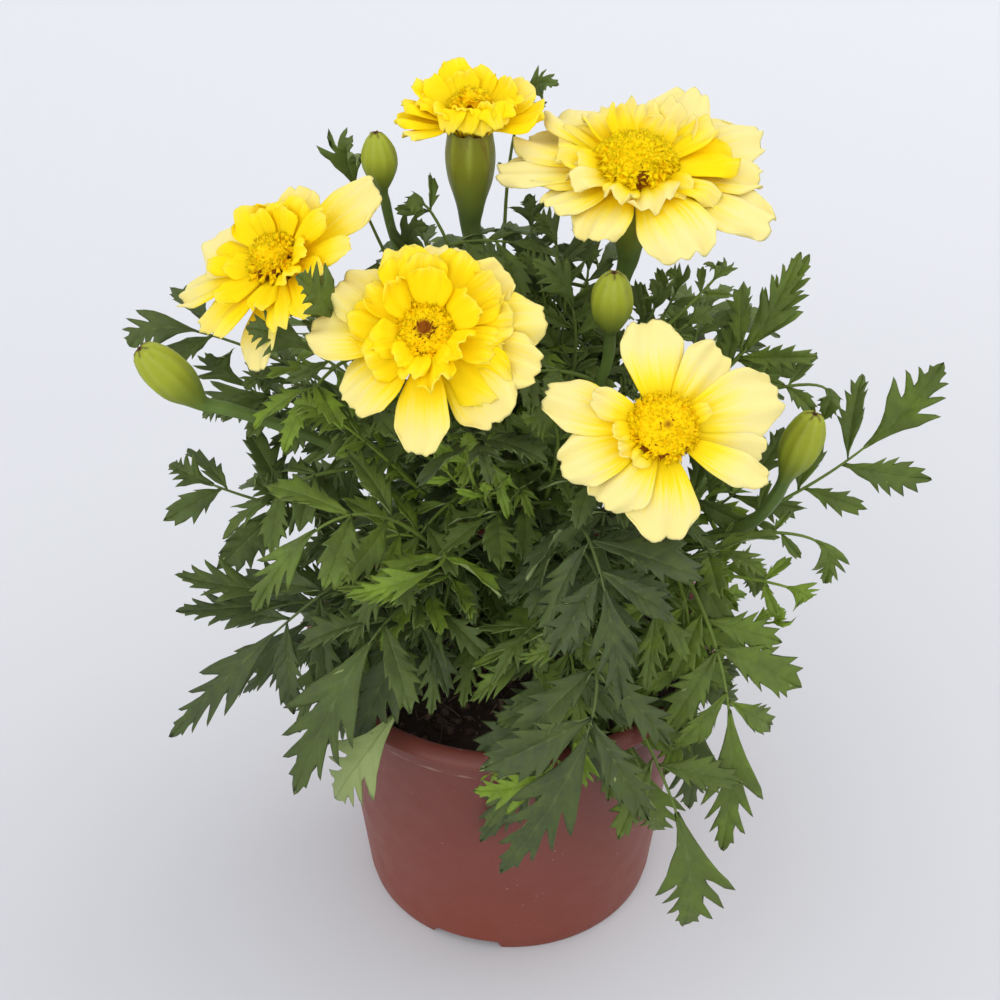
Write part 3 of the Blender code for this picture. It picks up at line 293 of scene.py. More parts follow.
# Blooms: outer and inner petals as (turn in degrees, length and width in millimetres, slope, gold), and
# a crest with the turns of the gaps in its rim, where short florets are painted brown as shade
Crest = namedtuple("Crest", "radius height count width length eye tone gaps")
Bloom = namedtuple("Bloom", "name normal petals inner crest")
BLOOMS = (
    Bloom(
        "bloom_a", (-0.50, -0.34, 0.80),
        ((23, 33, 16, 0.3, 0.1), (67, 21, 14, 0.45, 0.3), (98, 17, 11, 0.5, 0.5),
         (146, 27, 20, 0.3, 0.0), (171, 37, 14, 0.1, 0.1), (-160, 28, 12, 0.15, 0.5),
         (-133, 25, 8, 0.35, 0.7), (-82, 24, 9, 0.4, 0.8), (-62, 26, 8, 0.45, 0.8),
         (-113, 28, 15, 0.0, 0.1), (-18, 27, 9, 0.5, 0.6), (-38, 22, 10, 0.5, 0.7)),
        ((44, 16, 8, 0.8, 0.9), (8, 20, 8, 0.65, 0.8), (78, 14, 9, 1.0, 0.9), (120, 17, 12, 0.7, 0.8),
         (158, 20, 11, 0.5, 0.9), (-150, 18, 8, 0.5, 1.0), (-104, 17, 8, 0.6, 1.0),
         (-50, 15, 8, 0.8, 1.0), (100, 12, 9, 1.3, 1.0), (50, 12, 9, 1.3, 1.0), (-20, 13, 8, 1.0, 1.0),
         (178, 13, 9, 0.9, 1.0)),
        Crest(7.8, 0.55, 270, 1.6, 3.8, 0.0, 0.6, (-75, -118)),
    ),
    Bloom(
        "bloom_b", (0.0, 0.12, 0.99),
        ((-178, 20, 13, 0.33, 0.9), (-155, 19, 12, 0.15, 0.7), (-122, 11.3, 9, 3.6, 0.9),
         (-96, 10.7, 8, 3.8, 0.9), (-72, 10.7, 9, 3.8, 0.9), (-44, 11.9, 11, 3.4, 0.9),
         (-9, 20, 15, 0.45, 1.0), (27, 18, 13, 0.75, 0.5), (52, 14, 10, 0.9, 0.8),
         (82, 15, 12, 1.2, 1.0), (104, 16, 12, 1.45, 1.0), (153, 16, 12, 0.95, 0.9),
         (170, 18, 13, 0.6, 0.9)),
        ((64, 13, 8, 1.3, 1.0), (128, 11, 8, 1.7, 1.0), (24, 13, 8, 1.1, 0.9), (-18, 12, 8, 0.9, 1.0),
         (-58, 9, 7, 1.6, 1.0), (-140, 11, 8, 1.2, 1.0), (178, 13, 9, 0.9, 0.9), (96, 11, 8, 2.0, 1.0),
         (-100, 8, 7, 1.8, 1.0), (0, 14, 8, 0.8, 1.0), (150, 13, 8, 1.3, 1.0)),
        Crest(6.4, 0.8, 120, 2.0, 4.6, 0.0, 0.5, (-70, -110)),
    ),
    Bloom(
        "bloom_c", (-0.10, -0.62, 0.78),
        ((-94, 31, 15, 0.14, 0.2), (-142, 27, 17, 0.16, 0.25), (178, 31, 16, 0.16, 0.2),
         (146, 28, 17, 0.16, 0.1), (106, 24, 15, 0.3, 0.6), (78, 25, 16, 0.18, 0.2),
         (42, 26, 16, 0.18, 0.3), (7, 30, 16, 0.16, 0.3), (-20, 30, 15, 0.16, 0.2),
         (-46, 29, 19, 0.14, 0.2)),
        ((112, 23, 15, 0.4, 0.85), (88, 19, 13, 0.6, 0.9), (62, 22, 16, 0.45, 0.85),
         (34, 22, 15, 0.4, 0.7), (8, 22, 14, 0.35, 0.7), (-16, 20, 12, 0.45, 0.8),
         (-46, 25, 18, 0.25, 0.75), (-76, 17, 11, 0.6, 0.95), (-106, 13, 9, 0.9, 1.0),
         (-150, 17, 13, 0.5, 0.85), (174, 20, 13, 0.35, 0.9), (146, 19, 12, 0.45, 0.8),
         (126, 14, 11, 1.1, 1.0), (78, 14, 12, 1.2, 1.0), (22, 14, 11, 1.1, 1.0),
         (-34, 13, 10, 1.1, 1.0), (-168, 13, 10, 1.0, 1.0), (-62, 11, 7, 1.4, 1.0),
         (-130, 11, 7, 1.3, 1.0)),
        Crest(8.6, 0.3, 400, 1.8, 3.2, 1.9, 0.4, (-98, -62)),
    ),
    Bloom(
        "bloom_d", (0.03, -0.14, 0.99),
        ((171, 36, 20, 0.14, -0.1), (151, 34, 21, 0.22, 0.0), (127, 32, 20, 0.3, 0.0),
         (92, 27, 16, 0.3, 0.1), (60, 31, 19, 0.5, 0.0), (31, 42, 18, 0.26, -0.1), (5, 34, 17, 0.2, 0.2),
         (-24, 38, 19, 0.12, -0.1), (-66, 33, 20, 0.1, -0.1), (-119, 27, 16, 0.1, 0.2),
         (-151, 27, 15, 0.12, 0.2), (-178, 28, 14, 0.15, 0.2)),
        ((6, 27, 15, 0.4, 0.95), (-72, 18, 15, 0.34, 0.2), (-20, 24, 13, 0.3, 0.5),
         (-112, 18, 10, 0.4, 0.4), (-148, 19, 11, 0.45, 0.1), (176, 21, 11, 0.45, 0.6),
         (150, 23, 12, 0.4, 0.5), (122, 22, 13, 0.5, 0.3), (88, 20, 13, 0.6, 0.3),
         (52, 23, 14, 0.6, 0.1), (28, 25, 12, 0.45, 0.5), (105, 16, 10, 0.9, 0.7),
         (65, 16, 10, 0.9, 0.5), (-172, 16, 9, 0.7, 0.7), (-40, 17, 9, 0.5, 0.6)),
        Crest(11.2, 0.6, 620, 1.9, 3.2, 0.0, 1.0, (-86,)),
    ),
    Bloom(
        "bloom_e", (0.16, -0.67, 0.72),
        ((97, 29, 17, 0.16, -0.2), (53, 27, 14, 0.16, -0.2), (20, 34, 18, 0.16, -0.2),
         (-6, 28, 16, 0.1, -0.2), (-30, 29, 9, 0.34, -0.1), (-90, 28, 19, 0.12, -0.15),
         (-128, 25, 18, 0.14, -0.2), (-158, 28, 15, 0.22, -0.1), (167, 31, 15, 0.16, -0.1)),
        ((162, 20, 8, 0.35, 0.2), (-174, 14, 6, 0.45, 0.6), (-152, 14, 6, 0.35, 0.5),
         (-128, 12, 6, 0.4, 0.6), (24, 12, 5, 0.6, 0.7)),
        Crest(9.4, 0.36, 460, 1.5, 2.8, 1.2, 0.2, (-95, -52, -132)),
    ),
)
CORE_HEIGHT = 3.6 * MM
PETAL_ROOT = 3.6 * MM
PETAL_DROOP_REACH = 27.0 * MM
GOLDEN_TURN = np.radians(137.508)
OUTER_ROWS, INNER_ROWS = 28, 20
WIDE_COLUMNS, NARROW_COLUMNS = 21, 15
WIDE_PETAL = 12
BROAD_INNER = 9.5
BROAD_RUFFLE, NARROW_RUFFLE, HANGING_RUFFLE = 2.2, 1.3, 0.35
USUAL_PETAL = 16.0 * MM
HANGING_RISE = 2.0
FLORET_ROWS, FLORET_COLUMNS = 5, 4
FLORET_THICKNESS = 0.26 * MM
FLORET_SINK = 0.4 * MM
DOME_ROWS, DOME_SIDES = 14, 24
DOME_LIFT = 0.42
CREST_RIM = 0.62
GAP_HALF_TURN = 9.0
BROWN_AT_RIM, BROWN_IN_EYE = 0.68, 0.9

# The camera, as fitted to the photo
CAMERA_LENS = 80.0
CAMERA_SENSOR = 36.0
CAMERA_PLACE = (-0.0031, -0.5013, 0.512)
CAMERA_AIM = (-0.0031, 0.0, 0.137)

# The studio, in metres
LIGHT_AIM = (0.0, 0.0, 0.14)
KEY_LIGHT = ("key_light", (0.75, 0.35, 1.05), 0.9, (1.0, 0.98, 0.95))
FILL_LIGHT = ("fill_light", (-0.55, -1.1, 0.8), 1.0, (0.96, 0.98, 1.0))
BACKDROP_FRONT, BACKDROP_BACK, BACKDROP_BEND = -2.5, 1.6, 0.9
BACKDROP_TOP, BACKDROP_HALF_WIDTH = 3.5, 3.5
BACKDROP_ROWS, BEND_ROWS = 9, 24


# Shapes


def unit(vectors):
    """Vectors scaled to length one."""
    vectors = np.asarray(vectors, float)
    return vectors / np.maximum(np.linalg.norm(vectors, axis=-1, keepdims=True), 1e-12)


def smoothstep(low, high, values):
    """0 below low, 1 above high and a smooth rise between them."""
    share = np.clip((values - low) / (high - low), 0.0, 1.0)
    return share * share * (3.0 - 2.0 * share)


def turns_around(count):
    """Turns spread evenly around a circle, in radians."""
    return np.arange(count) * 2.0 * np.pi / count


def stacked(x, y, z):
    """Places made of three grids of numbers."""
    return np.stack(np.broadcast_arrays(x, y, z), axis=-1)


def bent(first, control, last, share):
    """Places on the parabola that leans from a first to a last point towards a control point."""
    return (1.0 - share) ** 2 * first + 2.0 * share * (1.0 - share) * control + share**2 * last


class Pile:
    """Surfaces gathered for one mesh: points, four-cornered faces and named values at points and on faces."""

    def __init__(self):
        self.points = []
        self.faces = []
        self.point_values = {}
        self.face_values = {}
        self.count = 0

    def add(self, points, faces, point_values, face_values=None):
        """Adds a surface. A value is one number or an array with one number for each point or face."""
        points = np.asarray(points, float).reshape(-1, 3)
        self.points.append(points)
        self.faces.append(np.asarray(faces) + self.count)
        for name, value in point_values.items():
            self.point_values.setdefault(name, []).append(np.broadcast_to(value, len(points)))
        for name, value in (face_values or {}).items():
            self.face_values.setdefault(name, []).append(np.broadcast_to(value, len(faces)))
        self.count += len(points)


def grid_faces(rows, columns, wrap=False):
    """Faces of a grid of points, whose columns close on themselves where wrap is set."""
    across = np.arange(columns if wrap else columns - 1)
    start = np.arange(rows - 1)[:, None] * columns
    low = (start + across).ravel()
    high = (start + (across + 1) % columns).ravel()
    return np.stack((low, high, high + columns, low + columns), axis=1)


def add_object(name, data):
    """A new object in the scene."""
    obj = bpy.data.objects.new(name, data)
    bpy.context.scene.collection.objects.link(obj)
    return obj


def make_piece(name, pile, material, nodes):
    """Turns a pile into an object that rides on the root body and stands for its CAD nodes."""
    points = np.concatenate(pile.points)
    faces = np.concatenate(pile.faces).astype(np.int32)
    mesh = bpy.data.meshes.new(name)
    mesh.vertices.add(len(points))
    mesh.vertices.foreach_set("co", points.astype(np.float32).ravel())
    mesh.loops.add(faces.size)
    mesh.loops.foreach_set("vertex_index", faces.ravel())
    mesh.polygons.add(len(faces))
    mesh.polygons.foreach_set("loop_start", np.arange(0, faces.size, 4, dtype=np.int32))
    mesh.update(calc_edges=True)
    for domain, values in (("POINT", pile.point_values), ("FACE", pile.face_values)):
        for key, chunks in values.items():
            layer = mesh.attributes.new(key, "FLOAT", domain)
            layer.data.foreach_set("value", np.concatenate(chunks).astype(np.float32))
    mesh.validate()
    mesh.shade_smooth()
    mesh.materials.append(material)
    obj = add_object(name, mesh)
    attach(obj, "root")
    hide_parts(*nodes)
    return obj


def blade_shell(surface, thickness):
    """Closed thin solid: the surface moved half the thickness each way along its normals, save at its edges.

    Gives points, faces, which faces are underneath and which grid points have a second point underneath.
    """
    rows, columns = surface.shape[:2]
    normals = unit(np.cross(np.gradient(surface, axis=1), np.gradient(surface, axis=0)))
    inner = np.zeros((rows, columns), bool)
    inner[1:-1, 1:-1] = True
    offset = normals * np.where(inner, thickness / 2.0, 0.0)[..., None]
    index = np.arange(rows * columns).reshape(rows, columns)
    index[inner] = rows * columns + np.arange(inner.sum())
    over = grid_faces(rows, columns)
    under = index.ravel()[over][:, ::-1]
    points = np.concatenate(((surface + offset).reshape(-1, 3), (surface - offset)[inner]))
    is_under = np.repeat((0.0, 1.0), (len(over), len(under)))
    return points, np.concatenate((over, under)), is_under, inner


def add_blade(pile, surface, thickness, **grids):
    """Adds a closed blade to a pile, with named values on its grid, and its side as a face value."""
    points, faces, is_under, inner = blade_shell(surface, thickness)
    values = {}
    for key, grid in grids.items():
        grid = np.broadcast_to(grid, inner.shape)
        values[key] = np.concatenate((grid.ravel(), grid[inner]))
    pile.add(points, faces, values, {"under": is_under})


def curve_through(points, places):
    """A smooth curve through points of any size: a cubic piece between each two, whose slopes are those
    of the chord across each point's two neighbours, read at shares of its length."""
    points = np.asarray(points, float)
    steps = np.linalg.norm(np.diff(points[:, :3], axis=0), axis=1)
    knots = np.concatenate(((0.0,), np.cumsum(steps)))
    slopes = np.gradient(points, knots, axis=0)
    at = np.asarray(places) * knots[-1]
    low = np.clip(np.searchsorted(knots, at, side="right") - 1, 0, len(steps) - 1)
    span = steps[low][:, None]
    t = ((at - knots[low]) / steps[low])[:, None]
    rise = t * t * (3.0 - 2.0 * t)
    curve = points[low] * (1.0 - rise) + points[low + 1] * rise
    return curve + span * (slopes[low] * t * (1.0 - t) ** 2 - slopes[low + 1] * t * t * (1.0 - t))


def frames_along(path):
    """Directions along a path and two directions across it, the first kept as straight as the path allows."""
    tangents = unit(np.gradient(path, axis=0))
    reference = np.array((1.0, 0.0, 0.0)) if abs(tangents[0, 0]) < 0.8 else np.array((0.0, 1.0, 0.0))
    sides = np.empty_like(path)
    side = unit(np.cross(tangents[0], reference))
    for row, tangent in enumerate(tangents):
        side = unit(side - tangent * np.dot(side, tangent))
        sides[row] = side
    return tangents, sides, np.cross(tangents, sides)


def tube_surface(path, radii):
    """A profile carried along a path: at each place a ring whose radius is given for each turn around it.

    The end rings close to a point at the path's ends.
    """
    _, sides, others = frames_along(path)
    turns = turns_around(radii.shape[1])
    ring = np.cos(turns)[:, None] * sides[:, None] + np.sin(turns)[:, None] * others[:, None]
    surface = path[:, None] + radii[..., None] * ring
    ends = np.ones((1, radii.shape[1], 1))
    return np.concatenate((path[:1, None] * ends, surface, path[-1:, None] * ends))


def closed_tube(pile, path, radii, **values):
    """Adds a tube with closed ends to a pile, with one value or one for each place along its path."""
    surface = tube_surface(path, radii)
    rows, columns = surface.shape[:2]
    layers = {}
    for key, value in values.items():
        value = np.broadcast_to(value, len(path))
        layers[key] = np.repeat(np.concatenate((value[:1], value, value[-1:])), columns)
    pile.add(surface, grid_faces(rows, columns, wrap=True), layers, {"under": 0.0})


# Places of the stems and leaves, which repeat those of the CAD


def trunk_at(height):
    """The main stem's centre and radius at a height, in millimetres."""
    heights = [point[2] for point in TRUNK_POINTS]
    centre = [np.interp(height, heights, [point[k] for point in TRUNK_POINTS]) for k in range(3)]
    return np.array(centre), np.interp(height, heights, TRUNK_RADII)


def bare_path(stem):
    """The points of a side stem in millimetres, from just off the main stem to its end or its head."""
    if stem.height is None:
        start = np.array(TRUNK_POINTS[-1], float) + (0.0, 0.0, GAP)
        first = [start, start + (0.0, 0.3, 4.0)]
    else:
        centre, radius = trunk_at(stem.height)
        heading = unit((*stem.heading, 0.0))
        start = centre + heading * (radius + GAP)
        first = [start, start + heading * 2.5 + (0.0, 0.0, 0.7)]
    return np.array(first + [np.array(point, float) for point in stem.points])


def smooth_bare(stem, shares):
    """Places at shares of a side stem's numbered points, on the Catmull-Rom curve that the CAD uses."""
    points = bare_path(stem)
    ends = np.vstack((2.0 * points[0] - points[1], points, 2.0 * points[-1] - points[-2]))
    places = np.clip(np.asarray(shares, float), 0.0, 1.0) * (len(points) - 1.0)
    index = np.minimum(places.astype(int), len(points) - 2)
    t = (places - index)[:, None]
    a, b, c, d = (ends[index + k] for k in range(4))
    square, cube = 2.0 * a - 5.0 * b + 4.0 * c - d, 3.0 * b - a - 3.0 * c + d
    return 0.5 * (2.0 * b + (c - a) * t + square * t**2 + cube * t**3)


def place_on(stem_name, along):
    """One place along a side stem, in millimetres."""
    return smooth_bare(STEM_NAMED[stem_name], (along,))[0]


def head_normal(stem):
    """Which way a calyx or bud points."""
    for bloom in BLOOMS:
        if stem.name.endswith(bloom.name):
            return unit(bloom.normal)
    top = np.array(stem.head[2], float)
    return unit(unit(top - np.array(stem.points[-1], float)) + np.array((0.0, 0.0, 0.35)))


def head_rings(stem, last, before):
    """The centres and radii of the rings of a calyx or bud and of the bridge to it, in millimetres."""
    profile, scale, top = stem.head
    heights = np.array([ring[0] for ring in profile]) * scale
    radii = np.array([ring[1] for ring in profile]) * scale
    top = np.array(top, float)
    arrive = head_normal(stem)
    share = (heights / heights[-1])[:, None]
    foot = top - arrive * heights[-1]
    control = top - arrive * heights[-1] * 0.6
    rings = bent(foot, control, top, share)
    bridge = (last + foot) / 2.0 + unit(last - before) * np.linalg.norm(foot - last) * 0.12
    return bridge, rings, radii


def leaf_curve(base, mid, tip):
    """A function that gives places and directions on a leaf's rib, a parabola through base, mid and tip."""
    control = 2.0 * mid - (base + tip) / 2.0

    def at(share):
        share = np.asarray(share, float)[..., None]
        slope = 2.0 * (1.0 - share) * (control - base) + 2.0 * share * (tip - control)
        return bent(base, control, tip, share), unit(slope)

    return at


def filler_leaf(filler):
    """A leaf that leaves its stem at a turn and a rise, arches over and droops at its tip."""
    base = place_on(filler.stem, filler.along)
    turn, rise = np.radians(filler.turn), np.radians(filler.rise)
    out = np.array((np.cos(rise) * np.cos(turn), np.cos(rise) * np.sin(turn), np.sin(rise)))
    mid = base + out * filler.reach * 0.52 + (0.0, 0.0, 0.1 * filler.reach)
    tip = base + out * filler.reach - (0.0, 0.0, 0.1 * filler.reach)
    face = unit((0.3 * np.cos(turn), 0.3 * np.sin(turn), 1.0))
    pairs = ((0.40, 0.48 * filler.reach),)
    if filler.reach > LARGE_FILLER:
        pairs = ((0.32, 0.44 * filler.reach), (0.52, 0.46 * filler.reach))
    split = pairs[-1][0] + 0.08
    return Leaf(filler.stem, filler.along, tuple(mid), tuple(tip), tuple(face), pairs, split, filler.tone)


def clear_of_heads(place):
    """Whether a place in millimetres is clear of every bloom and bud and of the space in front of them."""
    for stem in STEMS:
        if stem.head is None:
            continue
        away = place - np.array(stem.head[2], float)
        outward = head_normal(stem)
        height = np.dot(away, outward)
        aside = np.linalg.norm(away - height * outward)
        wide, low = CLEAR_OF_CALYX if stem.head[0] is CALYX else CLEAR_OF_BUD
        if aside < wide and height > low:
            return False
    return True


def inside_bush(place):
    """Whether a place in millimetres lies inside the bush's rounded outline and clear of its heads."""
    reach = np.hypot(place[0], place[1])
    top = BUSH_TOP - BUSH_ROUNDING * reach**2
    return BUSH_BOTTOM < place[2] < top and reach < BUSH_REACH and clear_of_heads(place)


def inner_leaves():
    """Leaves that fill the plant between the named ones, at seeded turns along each side stem."""
    draw = np.random.default_rng(SEED)
    leaves = []
    for number, stem in enumerate(STEMS):
        for order, along in enumerate(INNER_PLACES):
            for tries in range(INNER_TRIES):
                turn = number * TURN_A_STEM + order * TURN_A_LEAF + tries * TURN_A_TRY
                turn = (turn + draw.uniform(-20.0, 20.0)) % 360.0
                rise = draw.uniform(*INNER_RISE)
                reach = draw.uniform(*INNER_REACH)
                is_dark = draw.uniform() < DARK_SHARE
                tone = draw.uniform(*DARK_TONES) if is_dark else draw.uniform(*BRIGHT_TONES)
                leaf = filler_leaf(Filler(stem.name, along, turn, rise, reach, tone))
                if inside_bush(np.array(leaf.tip)) and inside_bush(np.array(leaf.mid)):
                    leaves.append(leaf)
                    break
    return leaves


def companion_leaves():
    """Shorter leaves beside the long named ones that aren't turned over, moved a little by seeded draws."""
    draw = np.random.default_rng(SEED + 7)
    leaves = []
    for leaf in LEAVES:
        base = place_on(leaf.stem, leaf.along)
        if np.linalg.norm(np.array(leaf.tip) - base) < LONG_LEAF:
            continue
        for _ in range(2):
            share = draw.uniform(0.62, 0.84)
            along = np.clip(leaf.along + draw.uniform(-0.3, 0.0), 0.15, 0.97)
            start = place_on(leaf.stem, along)
            shift = draw.uniform(-1.0, 1.0, 3) * COMPANION_SHIFT
            tip = start + (np.array(leaf.tip) - base) * share + shift
            mid = start + (np.array(leaf.mid) - base) * share + 0.4 * shift
            pairs = tuple((place, length * share * 1.05) for place, length in leaf.pairs)
            tone = leaf.tone + draw.uniform(-0.3, 0.25)
            if leaf.face[2] > 0.0 and clear_of_heads(tip) and clear_of_heads(mid):
                mid, tip = tuple(mid), tuple(tip)
                leaves.append(leaf._replace(along=along, mid=mid, tip=tip, pairs=pairs, tone=tone))
    return leaves


# The pot and the soil


def wall_radius(height):
    """The outer radius of the pot's plain wall at a height."""
    return FOOT_RADIUS + (WALL_TOP_RADIUS - FOOT_RADIUS) * height / COLLAR_FOOT_HEIGHT


def pot_profile():
    """The pot's section as (radius, height), from the middle of its underside, up the outside, over the
    rolled lip, down the inside and back to the middle of its floor."""
    outer_top = wall_radius(COLLAR_FOOT_HEIGHT)
    lip_root = COLLAR_RADIUS + 0.8 * MM
    inner, collar_inner, lip_inner = outer_top - WALL, COLLAR_RADIUS - WALL, lip_root - WALL
    profile = [(radius * MM, height * MM) for radius, height in UNDERSIDE]
    for height in (SEAM_HEIGHT - 0.5 * MM, SEAM_HEIGHT):
        profile.append((wall_radius(height), height))
    profile.append((wall_radius(SEAM_HEIGHT) + SEAM_STEP, SEAM_HEIGHT + 0.15 * MM))
    for height in np.linspace(SEAM_HEIGHT + 0.5 * MM, COLLAR_FOOT_HEIGHT - 0.6 * MM, WALL_ROWS):
        profile.append((wall_radius(height) + SEAM_STEP, height))
    profile += [
        (outer_top + 0.25 * MM, COLLAR_FOOT_HEIGHT - 0.1 * MM),
        (outer_top + 0.9 * MM, COLLAR_FOOT_HEIGHT + 0.15 * MM),
        (COLLAR_RADIUS - 0.4 * MM, COLLAR_FOOT_HEIGHT + 0.4 * MM),
        (COLLAR_RADIUS, COLLAR_FOOT_HEIGHT + 1.0 * MM),
        (COLLAR_RADIUS + 0.4 * MM, COLLAR_FOOT_HEIGHT + 4.6 * MM),
        (lip_root - 0.1 * MM, POT_HEIGHT - 5.0 * MM),
        (lip_root + 0.5 * MM, POT_HEIGHT - 4.3 * MM),
        (LIP_RADIUS - 2.4 * MM, LIP_EDGE_HEIGHT - 1.6 * MM),
        (LIP_RADIUS - 0.6 * MM, LIP_EDGE_HEIGHT - 1.2 * MM),
        (LIP_RADIUS - 0.1 * MM, LIP_EDGE_HEIGHT - 0.7 * MM),
        (LIP_RADIUS, LIP_EDGE_HEIGHT),
        (LIP_RADIUS - 0.25 * MM, LIP_EDGE_HEIGHT + 0.6 * MM),
        (LIP_RADIUS - 1.2 * MM, POT_HEIGHT - 1.1 * MM),
        (LIP_RADIUS - 2.6 * MM, POT_HEIGHT - 0.3 * MM),
        (LIP_RADIUS - 3.8 * MM, POT_HEIGHT),
        (LIP_RADIUS - 4.7 * MM, POT_HEIGHT - 0.2 * MM),
        (lip_inner + 0.3 * MM, POT_HEIGHT - 0.9 * MM),
        (lip_inner, POT_HEIGHT - 2.0 * MM),
        (collar_inner + 0.2 * MM, COLLAR_FOOT_HEIGHT + 5.0 * MM),
        (collar_inner, COLLAR_FOOT_HEIGHT + 1.9 * MM),
        (collar_inner - 0.6 * MM, COLLAR_FOOT_HEIGHT + 1.2 * MM),
        (inner, COLLAR_FOOT_HEIGHT + 0.5 * MM),
        (inner - 0.3 * MM, COLLAR_FOOT_HEIGHT - 1.0 * MM),
    ]
    for height in (60.0, 40.0, 20.0):
        profile.append((wall_radius(height * MM) - WALL, height * MM))
    profile += [
        (wall_radius(0.0) - WALL + 0.6 * MM, FLOOR_RAISED + WALL + 1.2 * MM),
        (36.0 * MM, FLOOR_RAISED + WALL),
        (20.0 * MM, FLOOR_RAISED + WALL),
        (0.0, FLOOR_RAISED + WALL),
    ]
    return np.array(profile)


def make_pot(sizes):
    """The pot: its section turned about its axis, with the foot raised in three notches."""
    profile = pot_profile()
    turns = turns_around(POT_SIDES)
    radius, height = profile[:, :1], profile[:, 1:]
    surface = stacked(radius * np.cos(turns), radius * np.sin(turns), height)
    underside = (profile[:, 0] > NOTCH_INNER_RADIUS) & (np.arange(len(profile)) < UNDERSIDE_ROWS)
    foot = underside & (profile[:, 1] < NOTCH_HEIGHT)
    for angle in NOTCH_ANGLES:
        away = (np.degrees(turns) - angle + 180.0) % 360.0 - 180.0
        half = np.degrees(NOTCH_WIDTH / 2.0 / FOOT_RADIUS)
        inside = 1.0 - smoothstep(half - NOTCH_RAMP, half, np.abs(away))
        surface[..., 2] += np.where(foot[:, None], inside * (NOTCH_HEIGHT - height), 0.0)
    pile = Pile()
    pile.add(surface, grid_faces(len(profile), POT_SIDES, wrap=True), {})
    pot = make_piece("nursery_pot", pile, material_named("pot_plastic", sizes), ("pot",))
    drill_radii = np.array((0.0, HOLE_RADIUS, HOLE_RADIUS, 0.0))[:, None]
    drill_heights = np.array((DRILL_FOOT, DRILL_FOOT, DRILL_TOP, DRILL_TOP))[:, None]
    spin = turns_around(HOLE_SIDES)
    cutters = []
    for angle in np.radians(HOLE_ANGLES):
        x = drill_radii * np.cos(spin) + HOLE_CIRCLE_RADIUS * np.cos(angle)
        y = drill_radii * np.sin(spin) + HOLE_CIRCLE_RADIUS * np.sin(angle)
        hole = Pile()
        hole.add(stacked(x, y, drill_heights), grid_faces(len(drill_radii), HOLE_SIDES, wrap=True), {})
        cutters.append(hole)
    drill(pot, cutters)


def drill(obj, piles):
    """Cuts round holes out of an object with one applied Boolean."""
    group = bpy.data.collections.new("drills")
    bpy.context.scene.collection.children.link(group)
    for pile in piles:
        mesh = bpy.data.meshes.new("drill")
        mesh.from_pydata(np.concatenate(pile.points).tolist(), [], np.concatenate(pile.faces).tolist())
        merge_points(mesh)
        group.objects.link(bpy.data.objects.new("drill", mesh))
    merge_points(obj.data)
    modifier = obj.modifiers.new("holes", "BOOLEAN")
    modifier.operation = "DIFFERENCE"
    modifier.solver = "EXACT"
    modifier.operand_type = "COLLECTION"
    modifier.collection = group
    bpy.context.view_layer.update()
    graph = bpy.context.evaluated_depsgraph_get()
    mesh = bpy.data.meshes.new_from_object(obj.evaluated_get(graph))
    obj.modifiers.clear()
    obj.data = mesh
    for cutter in list(group.objects):
        bpy.data.objects.remove(cutter, do_unlink=True)
    bpy.data.collections.remove(group)


def merge_points(mesh):
    """Welds the points of a mesh that lie together, so that its poles close."""
    work = bmesh.new()
    work.from_mesh(mesh)
    bmesh.ops.remove_doubles(work, verts=work.verts[:], dist=0.0001 * MM)
    bmesh.ops.recalc_face_normals(work, faces=work.faces[:])
    work.to_mesh(mesh)
    work.free()


def soil_height(x, y):
    """The height of the soil's surface, a low heap with soft bumps and a finer roughness."""
    radius = np.hypot(x, y) / WALL_TOP_RADIUS
    heap = SOIL_EDGE_HEIGHT + (SOIL_MIDDLE_HEIGHT - SOIL_EDGE_HEIGHT) * np.clip(1.0 - radius**2, 0.0, 1.0)
    waves = np.sin(x / (5.3 * MM) + 1.0) * np.cos(y / (6.1 * MM)) + 0.6 * np.sin((x + 2.0 * y) / (7.7 * MM))
    fine = np.sin(x / (1.7 * MM) + 2.0 * np.sin(y / (2.9 * MM))) * np.cos(y / (1.3 * MM) + x / (3.1 * MM))
    return heap + SOIL_BUMP * (0.6 * waves + 0.35 * fine)


def add_lumps(pile, places, sizes, draw, pale):
    """Small rounded lumps: a sphere of few faces, stretched, turned and roughened by seeded draws."""
    rise = np.linspace(0.0, np.pi, LUMP_ROWS)[:, None]
    turn = turns_around(LUMP_SIDES)
    ball = stacked(np.sin(rise) * np.cos(turn), np.sin(rise) * np.sin(turn), np.cos(rise))
    count = len(places)
    stretch = draw.uniform(0.6, 1.3, (count, 1, 1, 3))
    rough = 1.0 + draw.uniform(-0.22, 0.22, (count, LUMP_ROWS, LUMP_SIDES, 1))
    rough[:, (0, -1)] = 1.0
    spin = draw.uniform(0.0, 2.0 * np.pi, (count, 1, 1))
    lump = ball * rough * stretch
    x = lump[..., 0] * np.cos(spin) - lump[..., 1] * np.sin(spin)
    y = lump[..., 0] * np.sin(spin) + lump[..., 1] * np.cos(spin)
    points = places[:, None, None] + sizes[:, None, None, None] * stacked(x, y, lump[..., 2])
    faces = grid_faces(LUMP_ROWS, LUMP_SIDES, wrap=True)[:, ::-1]
    step = LUMP_ROWS * LUMP_SIDES
    faces = (faces[None] + np.arange(count)[:, None, None] * step).reshape(-1, 4)
    pile.add(points, faces, {"pale": np.repeat(pale, step)}, {"under": 0.0})


